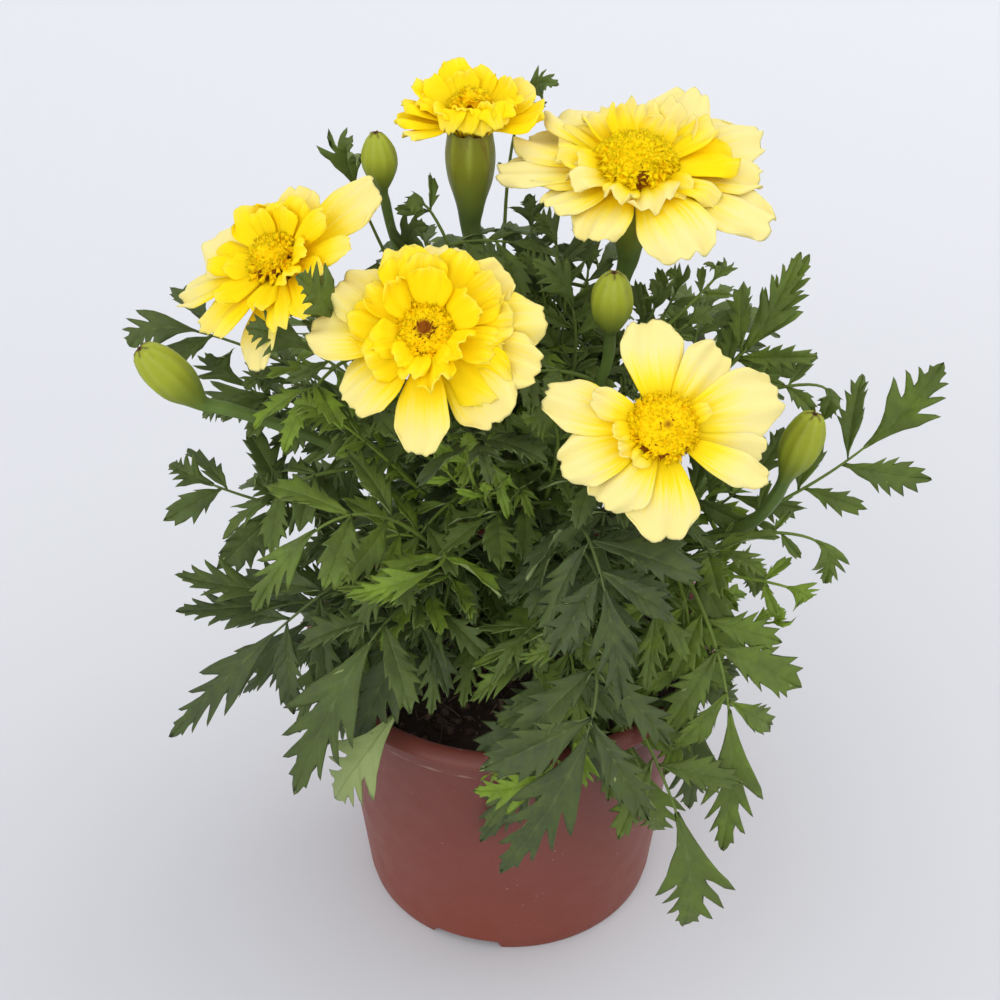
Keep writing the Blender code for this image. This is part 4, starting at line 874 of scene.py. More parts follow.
def make_soil(sizes):
    """The soil: a bumpy polar surface, its underside, loose crumbs and a few pale fibres."""
    draw = np.random.default_rng(SEED + 1)
    edge = WALL_TOP_RADIUS - WALL - 0.9 * MM
    stem_x, stem_y = TRUNK_POINTS[0][0] * MM, TRUNK_POINTS[0][1] * MM
    socket_height = (TRUNK_POINTS[0][2] - 0.5) * MM
    turns = turns_around(SOIL_SIDES)
    share = np.linspace(0.0, 1.0, SOIL_RINGS)[:, None]
    hole = (TRUNK_RADII[0] + 0.15) * MM
    x = (1.0 - share) * (stem_x + hole * np.cos(turns)) + share * edge * np.cos(turns)
    y = (1.0 - share) * (stem_y + hole * np.sin(turns)) + share * edge * np.sin(turns)
    top = stacked(x, y, soil_height(x, y))
    ring = stacked(np.cos(turns), np.sin(turns), 0.0)
    shoulder_radius = wall_radius(SOIL_SHOULDER) - WALL - 0.35 * MM
    foot_radius = wall_radius(SOIL_BOTTOM) - WALL - 0.6 * MM
    above = [ring * radius + (stem_x, stem_y, socket_height) for radius in (0.0, hole)]
    below = [ring * shoulder_radius + (0.0, 0.0, SOIL_SHOULDER)]
    below += [ring * radius + (0.0, 0.0, SOIL_BOTTOM) for radius in (foot_radius, 0.0)]
    surface = np.concatenate((above, top, below))
    pile = Pile()
    pile.add(surface, grid_faces(len(surface), SOIL_SIDES, wrap=True)[:, ::-1], {"pale": 0.0}, {"under": 0.0})
    radius = np.sqrt(draw.uniform(0.015, 0.96, sizes.crumbs)) * edge
    turn = draw.uniform(0.0, 2.0 * np.pi, sizes.crumbs)
    x, y = radius * np.cos(turn), radius * np.sin(turn)
    size = sizes.crumb_size * draw.uniform(0.35, 1.0, sizes.crumbs) ** 2 + 0.2 * MM
    places = stacked(x, y, soil_height(x, y) + 0.25 * size)
    add_lumps(pile, places, size, draw, draw.uniform(0.0, 1.0, sizes.crumbs) ** 2.5)
    for _ in range(sizes.fibres):
        start = np.array((*draw.uniform(-0.68, 0.68, 2), 0.0)) * edge
        heading = draw.uniform(0.0, 2.0 * np.pi)
        bend = draw.uniform(-1.0, 1.0)
        step = np.linspace(0.0, 1.0, FIBRE_ROWS)
        angle = heading + bend * step
        run = draw.uniform(3.0, 12.0) * MM
        x = start[0] + run * step * np.cos(angle)
        y = start[1] + run * step * np.sin(angle)
        path = stacked(x, y, soil_height(x, y) + 0.5 * MM + 0.9 * MM * np.sin(np.pi * step))
        radii = np.full((FIBRE_ROWS, FIBRE_SIDES), draw.uniform(0.10, 0.22) * MM)
        closed_tube(pile, path, radii, pale=draw.uniform(0.4, 1.3))
    make_piece("potting_soil", pile, material_named("soil_earth", sizes), ("soil",))


# Stems, calyces and buds


def make_trunk(sizes):
    """The main stem: a ribbed profile carried along a bent path, thicker where side stems leave it."""
    path = curve_through(np.array(TRUNK_POINTS, float) * MM, np.linspace(0.0, 1.0, TRUNK_ROWS))
    heights = [point[2] * MM for point in TRUNK_POINTS]
    radii = np.interp(path[:, 2], heights, np.array(TRUNK_RADII) * MM)
    turns = turns_around(TRUNK_SIDES)
    knots = np.array([stem.height for stem in STEMS if stem.height is not None]) * MM
    swell = np.exp(-(((path[:, 2, None] - knots) / (1.6 * MM)) ** 2)).max(axis=1)
    rings = radii[:, None] * (1.0 - 0.03 + 0.03 * np.cos(8.0 * turns)) + 0.2 * MM * swell[:, None]
    pile = Pile()
    closed_tube(pile, path, rings, ripe=0.0, bud=0.0, tip=0.0, rib=0.0)
    make_piece("main_stem_skin", pile, material_named("stem_skin", sizes), ("main_stem",))


def stem_tube(stem):
    """The path, ring radii, turns and places along its head of a side stem with its calyx or bud."""
    bare = smooth_bare(stem, np.linspace(0.0, 1.0, BARE_ROWS))
    radii = np.linspace(stem.radii[0], stem.radii[1], BARE_ROWS)
    knots = np.column_stack((bare, radii))
    is_bud = stem.head is not None and stem.head[0] is not CALYX
    turns = turns_around(BUD_SIDES if is_bud else STEM_SIDES)
    head_start = 1.0
    if stem.head is not None:
        bridge, rings, ring_radii = head_rings(stem, bare[-1], bare[-2])
        middle = np.array([(*bridge, 0.6 * radii[-1] + 0.4 * ring_radii[0])])
        knots = np.vstack((knots, middle, np.column_stack((rings, ring_radii))))
        lengths = np.cumsum(np.linalg.norm(np.diff(knots[:, :3], axis=0), axis=1))
        head_start = lengths[BARE_ROWS - 1] / lengths[-1]
    shares = np.linspace(0.0, 1.0, HEADED_ROWS if stem.head else PLAIN_ROWS)
    line = curve_through(knots, shares)
    head = np.clip((shares - head_start) / (1.0 - head_start), 0.0, 1.0) if stem.head else 0.0 * shares
    flutes = BUD_RIBS if is_bud else STEM_RIBS
    fine = 0.035 * np.cos(6.0 * turns)
    deep = 0.05 * (np.abs(np.cos(flutes * turns)) * 2.0 - 1.2)
    carved = smoothstep(0.25, 0.6, head)[:, None]
    rings = line[:, 3:] * (1.0 + (1.0 - carved) * fine + carved * deep)
    return line[:, :3] * MM, rings * MM, head, flutes, turns, is_bud


def head_end(path, last, ring, tangent, turns, is_bud):
    """The rows that close a head, with how brown each point is: a toothed rim round a hollow on a calyx,
    and on a bud a low dome with a dry star of five arms at its middle."""
    rows, tips = [], []
    if is_bud:
        arm = np.abs(np.cos(2.5 * turns)) ** 16
        for share in (0.93, 0.8, 0.64, 0.48, 0.32, 0.16, 0.0):
            lift = 1.5 * (1.0 - share**2) + 0.45 * arm * (share < 0.7)
            rows.append(path[-1] + ring * (last * share)[:, None] + tangent * (lift * MM)[:, None])
            tips.append(arm * smoothstep(0.85, 0.6, share) if share > 0.2 else 1.0 + 0.0 * turns)
        return rows, tips
    tooth = np.abs(np.cos(4.0 * turns)) ** 2.2
    for wide, high, brown in ((0.35, 0.35, 0.2), (1.0, 1.0, 0.7), (0.75, 0.75, 0.7), (-0.3, 0.0, 0.8)):
        radius = last + (wide * 0.5 * tooth - 0.25 * (wide < 0.8)) * MM
        rows.append(path[-1] + ring * radius[:, None] + tangent * (high * 1.6 * tooth * MM)[:, None])
        tips.append(brown + 0.0 * turns)
    rows.append(path[-1] + ring * (0.5 * last)[:, None] - tangent * 0.9 * MM)
    rows.append(path[-1] + 0.0 * ring - tangent * 1.0 * MM)
    tips += [0.9 + 0.0 * turns] * 2
    return rows, tips


def add_stem(pile, stem):
    """Adds a side stem: a ribbed profile carried along its path, closed by a toothed rim or a bud's star."""
    path, rings, head, flutes, turns, is_bud = stem_tube(stem)
    tangents, sides, others = frames_along(path)
    ring = np.cos(turns)[:, None] * sides[:, None] + np.sin(turns)[:, None] * others[:, None]
    surface = path[:, None] + rings[..., None] * ring
    ends, tips = [path[-1] + 0.0 * ring[-1]], [0.0 * turns]
    if stem.head is not None:
        ends, tips = head_end(path, rings[-1], ring[-1], tangents[-1], turns, is_bud)
    surface = np.concatenate((path[:1, None] + 0.0 * ring[:1], surface, np.array(ends)))
    columns = len(turns)
    along_head = np.concatenate(((0.0,), head, np.ones(len(ends))))
    brown = np.concatenate((np.zeros((len(path) + 1, columns)), np.array(tips)))
    ribs = np.abs(np.cos(flutes * turns))
    values = {
        "ripe": np.repeat(along_head, columns),
        "bud": float(is_bud),
        "tip": brown.ravel(),
        "rib": (smoothstep(0.3, 0.8, along_head)[:, None] * ribs).ravel(),
    }
    pile.add(surface, grid_faces(len(surface), columns, wrap=True), values, {"under": 0.0})


def make_stems(sizes):
    """Every side stem, one piece each, with its calyx or bud."""
    material = material_named("stem_skin", sizes)
    for stem in STEMS:
        pile = Pile()
        add_stem(pile, stem)
        make_piece(stem.name + "_skin", pile, material, (stem.name,))


# Leaves: outlines of end leaflets as (centre, margin, half width, vein), in shares of the leaflet's length

TOOTHED_END = (
    (0.00, 0.01, 0.020, 0.0), (0.06, 0.12, 0.036, 0.0), (0.14, 0.26, 0.085, 0.0), (0.22, 0.38, 0.125, 0.0),
    (0.29, 0.47, 0.195, 1.0), (0.33, 0.450, 0.150, 0.0), (0.38, 0.54, 0.152, 0.0), (0.43, 0.64, 0.220, 1.0),
    (0.47, 0.610, 0.155, 0.0), (0.53, 0.69, 0.142, 0.0), (0.59, 0.785, 0.185, 1.0), (0.64, 0.755, 0.120, 0.0),
    (0.70, 0.83, 0.098, 0.0), (0.76, 0.900, 0.112, 1.0), (0.81, 0.885, 0.070, 0.0), (0.88, 0.94, 0.052, 0.0),
    (0.95, 0.98, 0.030, 0.0), (1.00, 1.00, 0.006, 0.0),
)
LOBED_END = (
    (0.00, 0.01, 0.020, 0.0), (0.05, 0.12, 0.050, 0.0), (0.10, 0.24, 0.110, 0.0), (0.14, 0.36, 0.165, 0.0),
    (0.17, 0.46, 0.240, 1.0), (0.19, 0.44, 0.205, 0.0), (0.22, 0.55, 0.240, 0.0), (0.25, 0.69, 0.300, 1.0),
    (0.29, 0.60, 0.210, 0.0), (0.33, 0.54, 0.145, 0.0), (0.37, 0.46, 0.082, 0.0), (0.42, 0.53, 0.080, 0.0),
    (0.48, 0.63, 0.126, 1.0), (0.53, 0.61, 0.088, 0.0), (0.59, 0.70, 0.092, 0.0), (0.65, 0.80, 0.128, 1.0),
    (0.70, 0.775, 0.080, 0.0), (0.78, 0.86, 0.068, 0.0), (0.85, 0.93, 0.060, 0.6), (0.93, 0.97, 0.034, 0.0),
    (1.00, 1.00, 0.006, 0.0),
)
DEEP_END = (
    (0.00, 0.01, 0.014, 0.0), (0.08, 0.12, 0.028, 0.0), (0.16, 0.24, 0.058, 0.0), (0.22, 0.35, 0.100, 0.0),
    (0.27, 0.46, 0.148, 0.0), (0.30, 0.55, 0.190, 0.0), (0.33, 0.64, 0.225, 1.0), (0.345, 0.622, 0.178, 0.0),
    (0.37, 0.56, 0.108, 0.0), (0.40, 0.535, 0.080, 0.0), (0.435, 0.58, 0.090, 0.0), (0.47, 0.67, 0.134, 0.0),
    (0.50, 0.765, 0.182, 1.0), (0.52, 0.75, 0.142, 0.0), (0.545, 0.695, 0.085, 0.0),
    (0.575, 0.675, 0.065, 0.0), (0.62, 0.73, 0.072, 0.0), (0.66, 0.80, 0.100, 0.0), (0.69, 0.87, 0.126, 1.0),
    (0.71, 0.86, 0.096, 0.0), (0.74, 0.825, 0.062, 0.0), (0.79, 0.865, 0.054, 0.0), (0.85, 0.935, 0.068, 0.7),
    (0.89, 0.935, 0.042, 0.0), (0.95, 0.97, 0.030, 0.0), (1.00, 1.00, 0.006, 0.0),
)
ACROSS = np.array((-1.0, -0.84, -0.12, 0.0, 0.12, 0.84, 1.0))


def lance_width(share):
    """Half width of a lance shape as a share of its widest, which lies past its middle."""
    return np.sin(np.pi * np.clip(share, 0.0, 1.0) ** 1.25) ** 0.9


def leaflet_outline(teeth, half_width, depth, draw):
    """A side leaflet's outline: a lance shape with a plain root and a few sharp teeth that point forward,
    each on a row that slants forward like a vein, with a hollow margin from one tooth to the next. The
    last column is the half width without teeth."""
    rows = [(0.0, 0.01, 0.018, 0.0, 0.018), (0.05, 0.11, 0.03, 0.0, 0.03)]
    marks = np.linspace(0.40, 0.86, teeth) + draw.uniform(-0.03, 0.03, teeth)
    step = 0.46 / (teeth - 1)
    low = half_width * lance_width(0.22) * 0.95
    rows.append((0.10, 0.22, low, 0.0, low))
    for mark in marks:
        before = mark - 0.5 * step
        plain, ahead = half_width * lance_width(np.array((before, mark)))
        tooth = ahead * (1.1 + 0.4 * depth) + 0.014
        hollow = plain * (1.0 - 0.35 * depth)
        rows.append((before - 0.8 * hollow, before, hollow, 0.0, plain * 0.97))
        rows.append((mark - 0.80 * tooth, mark + 0.045, tooth, 1.0, ahead))
        rows.append((mark - 0.62 * tooth, mark + 0.005, ahead * (1.0 - depth), 0.0, ahead * 0.97))
    end = half_width * lance_width(0.95) * 0.8
    rows.append((0.90, 0.95, end, 0.0, end))
    rows.append((1.0, 1.0, 0.006, 0.0, 0.006))
    rows = np.array(rows)
    rows[:, 0] = np.maximum.accumulate(rows[:, 0] + np.arange(len(rows)) * 1e-4)
    return rows


def blade_places(rows, bites, draw):
    """Shares along and across a leaflet for each point of its grid, and how near each is to a vein. The
    bites say how much of its teeth each side has."""
    size = np.abs(ACROSS)
    uneven = 1.0 + draw.uniform(-0.12, 0.12) * np.sign(ACROSS)
    wander = 1.0 + draw.uniform(-0.06, 0.06, (len(rows), 2))[:, (ACROSS > 0.0).astype(int)]
    along = rows[:, :1] + (rows[:, 1:2] - rows[:, :1]) * size**1.12
    bite = np.where(ACROSS > 0.0, bites[0], bites[1])
    half = rows[:, -1:] + (rows[:, 2:3] - rows[:, -1:]) * bite
    across = half * ACROSS * uneven * wander
    vein = np.maximum(0.45 * rows[:, 3:4] * (1.0 - 0.5 * size), (size < 0.01) * (1.0 - 0.3 * along))
    return along, across, vein


def leaf_relief(vein, sizes, draw, along):
    """How far each point stands out: puffed up between the veins, with a slow wave towards the margin."""
    size = np.abs(ACROSS)
    puff = sizes.puff * (1.0 - vein) * 4.0 * size * (1.0 - size)
    side = np.sign(ACROSS) * draw.uniform(0.4, 1.6) + draw.uniform(0.0, 6.3)
    wave = sizes.ruffle * size**2 * np.sin(2.0 * np.pi * draw.uniform(1.3, 2.4) * along + side)
    return puff + wave


def add_leaflet(pile, sizes, place, axis, forward, normal, length, tone, draw):
    """Adds a side leaflet: a blade folded along its midrib, bent down along an arc and a little twisted."""
    teeth = 2 + sum(length > limit for limit in LONG_LEAFLETS)
    depth = sizes.tooth_depth * draw.uniform(0.6, 1.35)
    outline = leaflet_outline(teeth, sizes.leaflet_width / 2.0 * draw.uniform(0.85, 1.15), depth, draw)
    along, across, vein = blade_places(outline, (draw.uniform(0.1, 1.0), 1.0), draw)
    bend, fold, twist = draw.uniform(0.2, 0.85), np.radians(draw.uniform(6.0, 26.0)), draw.uniform(-0.3, 0.3)
    angle = (bend * along)[..., None]
    spine = (axis * np.sin(angle) - normal * (1.0 - np.cos(angle))) / bend
    up = normal * np.cos(angle) + axis * np.sin(angle)
    turn = (twist * along)[..., None]
    side = forward * np.cos(turn) + up * np.sin(turn)
    up = up * np.cos(turn) - forward * np.sin(turn)
    relief = leaf_relief(vein, sizes, draw, along) * length / USUAL_LEAFLET
    height = np.abs(across) * np.sin(fold) * length + relief
    surface = place + length * (spine + side * (across * np.cos(fold))[..., None]) + up * height[..., None]
    if np.dot(np.cross(axis, forward), normal) > 0.0:
        surface, vein = surface[:, ::-1], vein[:, ::-1]
    add_blade(pile, surface, sizes.leaf_thickness, tone=tone, vein=vein, edge=ACROSS**8)


def add_end_leaflet(pile, sizes, leaf, frame_at, length, tone, draw):
    """Adds the lobed end leaflet, which follows the rib's curve."""
    rest = 1.0 - leaf.split
    outline = LOBED_END if draw.uniform() < 0.5 else TOOTHED_END
    outline = np.array(DEEP_END if rest * length > sizes.deep_length else outline)
    along, across, vein = blade_places(np.column_stack((outline, outline[:, 2])), (1.0, 1.0), draw)
    place, _, side, normal = frame_at(leaf.split + rest * along)
    span = rest * length
    fold = np.radians(draw.uniform(4.0, 20.0))
    height = np.abs(across) * np.sin(fold) * span + leaf_relief(vein, sizes, draw, along)
    height -= draw.uniform(0.0, 0.35) * across**2 * span + draw.uniform(-0.04, 0.1) * along**3 * span
    surface = place - side * (across * np.cos(fold) * span)[..., None] + normal * height[..., None]
    add_blade(pile, surface[:, ::-1], sizes.leaf_thickness, tone=tone, vein=vein[:, ::-1], edge=ACROSS**8)


def add_leaf(pile, leaf, sizes, draw):
    """Adds one leaf: a thin rib from its stem, pairs of toothed leaflets and a lobed end leaflet."""
    base = place_on(leaf.stem, leaf.along) * MM
    mid, tip = np.array(leaf.mid) * MM, np.array(leaf.tip) * MM
    at = leaf_curve(base, mid, tip)
    length = np.linalg.norm(mid - base) + np.linalg.norm(tip - mid)
    face = unit(leaf.face)
    tone = np.clip(leaf.tone + draw.uniform(-0.08, 0.08), 0.0, 1.0)

    def frame_at(share):
        place, direction = at(share)
        side = unit(np.cross(direction, face))
        return place, direction, side, np.cross(side, direction)

    path, _ = at(np.linspace(0.0, leaf.split + 0.06 * (1.0 - leaf.split), RIB_ROWS))
    thick = np.linspace(sizes.rib_radius, 0.45 * sizes.rib_radius, RIB_ROWS)[:, None] * np.ones(RIB_SIDES)
    closed_tube(pile, path, thick, tone=np.clip(tone + 0.15, 0.0, 1.0), vein=0.7, edge=0.0)
    pairs = list(leaf.pairs)
    if pairs and pairs[0][0] > BARE_SHARE and pairs[0][0] * length > LONG_BARE_RIB:
        pairs.append((pairs[0][0] * ADDED_PAIR_PLACE, pairs[0][1] * ADDED_PAIR_SIZE))
    for share, size in pairs:
        for sign in (-1.0, 1.0):
            along = np.clip(share + draw.uniform(-0.025, 0.025), 0.08, 0.95)
            place, direction, side, normal = frame_at(along)
            angle = np.radians(LEAFLET_ANGLE + draw.uniform(-8.0, 8.0))
            axis = np.cos(angle) * direction + np.sin(angle) * sign * side
            axis = unit(axis + normal * draw.uniform(-0.18, 0.15))
            forward = unit(direction - axis * np.dot(direction, axis))
            up = np.cross(axis, forward)
            up = up if np.dot(up, normal) > 0.0 else -up
            leaflet = size * MM * draw.uniform(0.92, 1.06)
            shade = np.clip(tone + draw.uniform(-0.06, 0.06), 0.0, 1.0)
            add_leaflet(pile, sizes, place, axis, forward, up, leaflet, shade, draw)
    add_end_leaflet(pile, sizes, leaf, frame_at, length, tone, draw)


def make_leaves(sizes):
    """Every leaf, gathered in one piece for each leafy stem."""
    material = material_named("leaf_blade", sizes)
    leaves = list(LEAVES) + [filler_leaf(filler) for filler in FILLERS] + inner_leaves() + companion_leaves()
    for order, stem in enumerate(STEMS):
        draw = np.random.default_rng(SEED + 100 + order)
        pile = Pile()
        for leaf in leaves:
            if leaf.stem == stem.name:
                add_leaf(pile, leaf, sizes, draw)
        if pile.points:
            make_piece(stem.name + "_leaves", pile, material, (stem.name,))


# Blooms


def bloom_frame(bloom):
    """The origin of a bloom on its calyx, and its right, up and outward directions."""
    stem = STEM_NAMED["stem_" + bloom.name]
    outward = unit(bloom.normal)
    right = unit(np.array((1.0, 0.0, 0.0)) - outward * outward[0])
    origin = np.array(stem.head[2], float) * MM + outward * GAP * MM
    return origin, np.array((right, np.cross(outward, right), outward))


PetalShape = namedtuple("PetalShape", "turn length width rise gold droop level roll ruffle rows columns")


def petal_surface(sizes, shape, draw):
    """A petal in its bloom's own axes: a narrow claw from the calyx, a broad middle and a round end with
    small notches, grooved lengthwise and with a wavy margin. It rises on a parabola, is rolled about its
    length, and its relief stands out square to its slope."""
    u = np.append(np.linspace(0.0, 0.975, shape.rows - 1), 1.0)[:, None]
    v = np.concatenate(((-1.0,), np.linspace(-0.965, 0.965, shape.columns - 2), (1.0,)))[None]
    turn, length, width = np.radians(shape.turn), shape.length * MM, shape.width * MM
    reach = length - PETAL_ROOT
    half = 0.2 + 0.8 * np.sin(np.pi / 2.0 * np.clip(u / 0.78, 0.0, 1.0)) ** 1.1
    half = half * (1.0 - 0.2 * smoothstep(0.82, 1.0, u))
    phases = draw.uniform(0.0, 2.0 * np.pi, 5)
    end = draw.uniform(0.14, 0.21) * np.abs(v) ** draw.uniform(3.2, 4.6)
    for middle in (-0.36, 0.02, 0.38):
        notch_at = middle + draw.uniform(-0.08, 0.08)
        end = end + max(0.0, draw.uniform(-0.03, 0.05)) * np.exp(-(((v - notch_at) / 0.13) ** 2))
    end = end + 0.010 * np.sin(7.0 * v + phases[0]) + 0.005 * np.sin(17.0 * v + phases[1])
    along = u * (1.0 - end * u**2)
    across = width / 2.0 * half * v * (1.0 + 0.02 * np.sin(13.0 * u + phases[4] + v))
    run = along * reach
    leaves_throat = smoothstep(0.0, 0.2, u)
    height = shape.level * MM * leaves_throat - sizes.throat_depth * (1.0 - leaves_throat)
    height = height + shape.rise * run - shape.droop * run**2 / PETAL_DROOP_REACH
    wave = 0.6 * np.sin(2.0 * np.pi * draw.uniform(0.5, 0.9) * v + phases[2])
    wave = wave + 0.4 * np.sin(2.0 * np.pi * draw.uniform(1.2, 1.8) * v + phases[3] + 2.0 * u)
    relief = np.sin(shape.roll) * across
    relief = relief + sizes.petal_ruffle * shape.ruffle * u**2.0 * wave * (width / USUAL_PETAL)
    groove = np.cos(3.0 * np.pi * v) + 0.3 * np.cos(9.0 * np.pi * v + phases[0])
    relief = relief + sizes.petal_groove * smoothstep(0.05, 0.4, u) * groove
    relief = relief - draw.uniform(0.0, 0.14) * np.abs(across) * smoothstep(0.1, 0.6, u)
    relief = relief - shape.ruffle * draw.uniform(-0.8, 1.4) * MM * smoothstep(0.72, 1.0, u) ** 2
    slope = shape.rise - 2.0 * shape.droop * run / PETAL_DROOP_REACH
    level_share = 1.0 / np.sqrt(1.0 + slope**2)
    out = np.array((np.cos(turn), np.sin(turn), 0.0))
    side = np.array((-np.sin(turn), np.cos(turn), 0.0))
    swing = draw.uniform(-0.05, 0.05) * run**2 / reach
    outward = PETAL_ROOT * 0.8 + run + 0.2 * PETAL_ROOT * leaves_throat - relief * slope * level_share
    surface = out * outward[..., None] + side * (np.cos(shape.roll) * across + swing)[..., None]
    surface = surface + (height + relief * level_share)[..., None] * np.array((0.0, 0.0, 1.0))
    return surface, along + 0.0 * v, v + 0.0 * u


def make_petals(sizes):
    """The petals of each bloom: a broad outer ring and shorter ones that stand up around the crest."""
    material = material_named("petal_skin", sizes)
    for order, bloom in enumerate(BLOOMS):
        draw = np.random.default_rng(SEED + 200 + order)
        origin, axes = bloom_frame(bloom)
        pile = Pile()
        shapes = []
        for k, petal in enumerate(sorted(bloom.petals)):
            roll = np.radians(10.0 + draw.uniform(-6.0, 6.0))
            droop = 0.2 + 1.6 * max(petal[3] - 0.9, 0.0) ** 2
            columns = WIDE_COLUMNS if petal[2] > WIDE_PETAL else NARROW_COLUMNS
            ruffle = HANGING_RUFFLE if petal[3] > HANGING_RISE else 1.0
            level = 0.7 + 0.5 * (k % 2)
            shapes.append(PetalShape(*petal, droop, level, roll, ruffle, OUTER_ROWS, columns))
        for k, (turn, length, width, rise, gold) in enumerate(bloom.inner):
            turn = turn + draw.uniform(-5.0, 5.0)
            rise = rise * draw.uniform(0.8, 1.25)
            roll = np.radians(draw.uniform(-26.0, 30.0))
            droop = 0.3 + 1.2 * max(rise - 0.8, 0.0)
            ruffle = BROAD_RUFFLE if width > BROAD_INNER else NARROW_RUFFLE
            petal = (turn, length, width, rise, gold)
            level = 1.9 + 0.5 * (k % 2)
            shapes.append(PetalShape(*petal, droop, level, roll, ruffle, INNER_ROWS, NARROW_COLUMNS))
        for shape in shapes:
            surface, along, across = petal_surface(sizes, shape, draw)
            surface = origin + surface @ axes
            gold = shape.gold + draw.uniform(-0.08, 0.08)
            seed = draw.uniform(0.0, 50.0)
            add_blade(pile, surface, sizes.petal_thickness, along=along, across=across, gold=gold, seed=seed)
        make_piece(bloom.name + "_petal_rings", pile, material, (bloom.name + "_petals",))


def floret_surface(direction, lean, length, width, curl, cup):
    """A floret: a slit tube that flares to a notched lip and bends out along an arc."""
    u = np.linspace(0.0, 1.0, FLORET_ROWS)[:, None]
    v = np.linspace(-1.0, 1.0, FLORET_COLUMNS)[None]
    half = width / 2.0 * (0.4 + 0.8 * u**1.6)
    along = u * (1.0 - 0.25 * (1.0 - np.abs(v)) * u**2)
    angle = curl * along
    spine_up = np.sin(angle) / curl * length
    spine_out = (1.0 - np.cos(angle)) / curl * length
    bow = cup * (1.0 - 0.5 * u)
    across = half * np.sin(bow * v) / np.sin(bow)
    inward = half * (1.0 - np.cos(bow * v)) / np.sin(bow)
    side = np.cross(direction, lean)
    surface = direction * (spine_up + inward * np.sin(angle))[..., None]
    surface = surface + lean * (spine_out - inward * np.cos(angle))[..., None] + side * across[..., None]
    return surface, along


def crest_height(crest, low, share):
    """The height of a crest's dome at a share of its radius, in metres."""
    return low + crest.radius * MM * crest.height * np.sqrt(np.maximum(1.0 - 0.97 * share**2, 0.0))


def add_crest_dome(pile, origin, axes, crest, low):
    """The dome that carries the florets: a flattened ball, brown at its eye."""
    wide = (crest.radius - 0.7 * crest.length) * MM
    rise = np.linspace(0.0, np.pi, DOME_ROWS)[:, None]
    turn = turns_around(DOME_SIDES)
    reach = wide * np.sin(rise)
    top = crest_height(crest, low, np.sin(rise)) - low
    height = low + np.where(rise < np.pi / 2.0, top, -0.3 * top)
    dome = stacked(reach * np.cos(turn), reach * np.sin(turn), height)
    shown = (rise < np.pi / 2.0) & (crest.eye > 0.0)
    eye = np.where(shown, 1.0 - smoothstep(0.8, 1.3, reach / (crest.eye * MM + 0.01 * MM)), 0.0)
    values = {"along": 0.4, "speck": np.repeat(eye.ravel(), DOME_SIDES), "seed": 0.0, "tone": crest.tone}
    faces = grid_faces(DOME_ROWS, DOME_SIDES, wrap=True)[:, ::-1]
    pile.add(origin + dome @ axes, faces, values, {"under": 0.0})


def make_crests(sizes):
    """The golden crest of each bloom: florets in a sunflower spiral over a dome, longer and leaning out
    at its rim, with short brown ones in its eye and short ones painted brown as shade in its gaps."""
    material = material_named("crest_skin", sizes)
    up = np.array((0.0, 0.0, 1.0))
    for order, bloom in enumerate(BLOOMS):
        draw = np.random.default_rng(SEED + 300 + order)
        origin, axes = bloom_frame(bloom)
        crest = bloom.crest
        low = CORE_HEIGHT + 0.2 * MM
        pile = Pile()
        add_crest_dome(pile, origin, axes, crest, low + DOME_LIFT * crest.length * MM)
        for k in range(crest.count):
            share = np.sqrt((k + 0.5) / crest.count)
            spin = k * GOLDEN_TURN + draw.uniform(-0.25, 0.25)
            tilt = np.radians(80.0 * share**1.3 + draw.uniform(-24.0, 24.0))
            out = np.array((np.cos(spin), np.sin(spin), 0.0))
            direction = np.cos(tilt) * up + np.sin(tilt) * out
            lean = np.cos(tilt) * out - np.sin(tilt) * up
            reach = (crest.radius - 0.8 * crest.length) * MM * share
            base = out * reach + up * (crest_height(crest, low, share) - FLORET_SINK)
            length = crest.length * MM * (0.7 + 0.3 * share) * draw.uniform(0.7, 1.25)
            away = np.abs((np.degrees(spin) - np.array(crest.gaps) + 180.0) % 360.0 - 180.0)
            # painted shade: rim florets in the gaps are painted brown where shade falls; florets in the eye
            # keep the eye's own brown
            brown = (share > CREST_RIM and away.min() < GAP_HALF_TURN) or reach < crest.eye * MM
            if brown:
                length = (BROWN_AT_RIM if share > 0.5 else BROWN_IN_EYE) * length
            width = crest.width * MM * draw.uniform(0.75, 1.35)
            twist = draw.uniform(-1.4, 1.4)
            lean = lean * np.cos(twist) + np.cross(direction, lean) * np.sin(twist)
            curl, cup = draw.uniform(0.3, 1.7), draw.uniform(0.3, 1.1)
            surface, along = floret_surface(direction, lean, length, width, curl, cup)
            surface = origin + (base + surface) @ axes
            seed = draw.uniform(0.0, 50.0)
            values = {"along": along, "speck": float(brown), "seed": seed, "tone": crest.tone}
            add_blade(pile, surface, FLORET_THICKNESS, **values)
        make_piece(bloom.name + "_florets", pile, material, (bloom.name + "_crest",))


# Materials


def add_node(tree, kind, inputs=None, **settings):
    """Adds a node, sets its settings and sets or links its inputs."""
    node = tree.nodes.new(kind)
    for key, value in settings.items():
        setattr(node, key, value)
    for key, value in (inputs or {}).items():
        if isinstance(value, bpy.types.NodeSocket):
            tree.links.new(value, node.inputs[key])
        else:
            node.inputs[key].default_value = value
    return node


def attribute(tree, name):
    """The named value of the surface."""
    return add_node(tree, "ShaderNodeAttribute", attribute_name=name).outputs["Fac"]


def math(tree, operation, first, second=0.0, clamp=False):
    """One sum of two numbers."""
    inputs = {0: first, 1: second}
    return add_node(tree, "ShaderNodeMath", inputs, operation=operation, use_clamp=clamp).outputs[0]


def mix(tree, share, first, second):
    """A colour between two colours."""
    inputs = {0: share, 6: rgba(first), 7: rgba(second)}
    return add_node(tree, "ShaderNodeMix", inputs, data_type="RGBA").outputs[2]


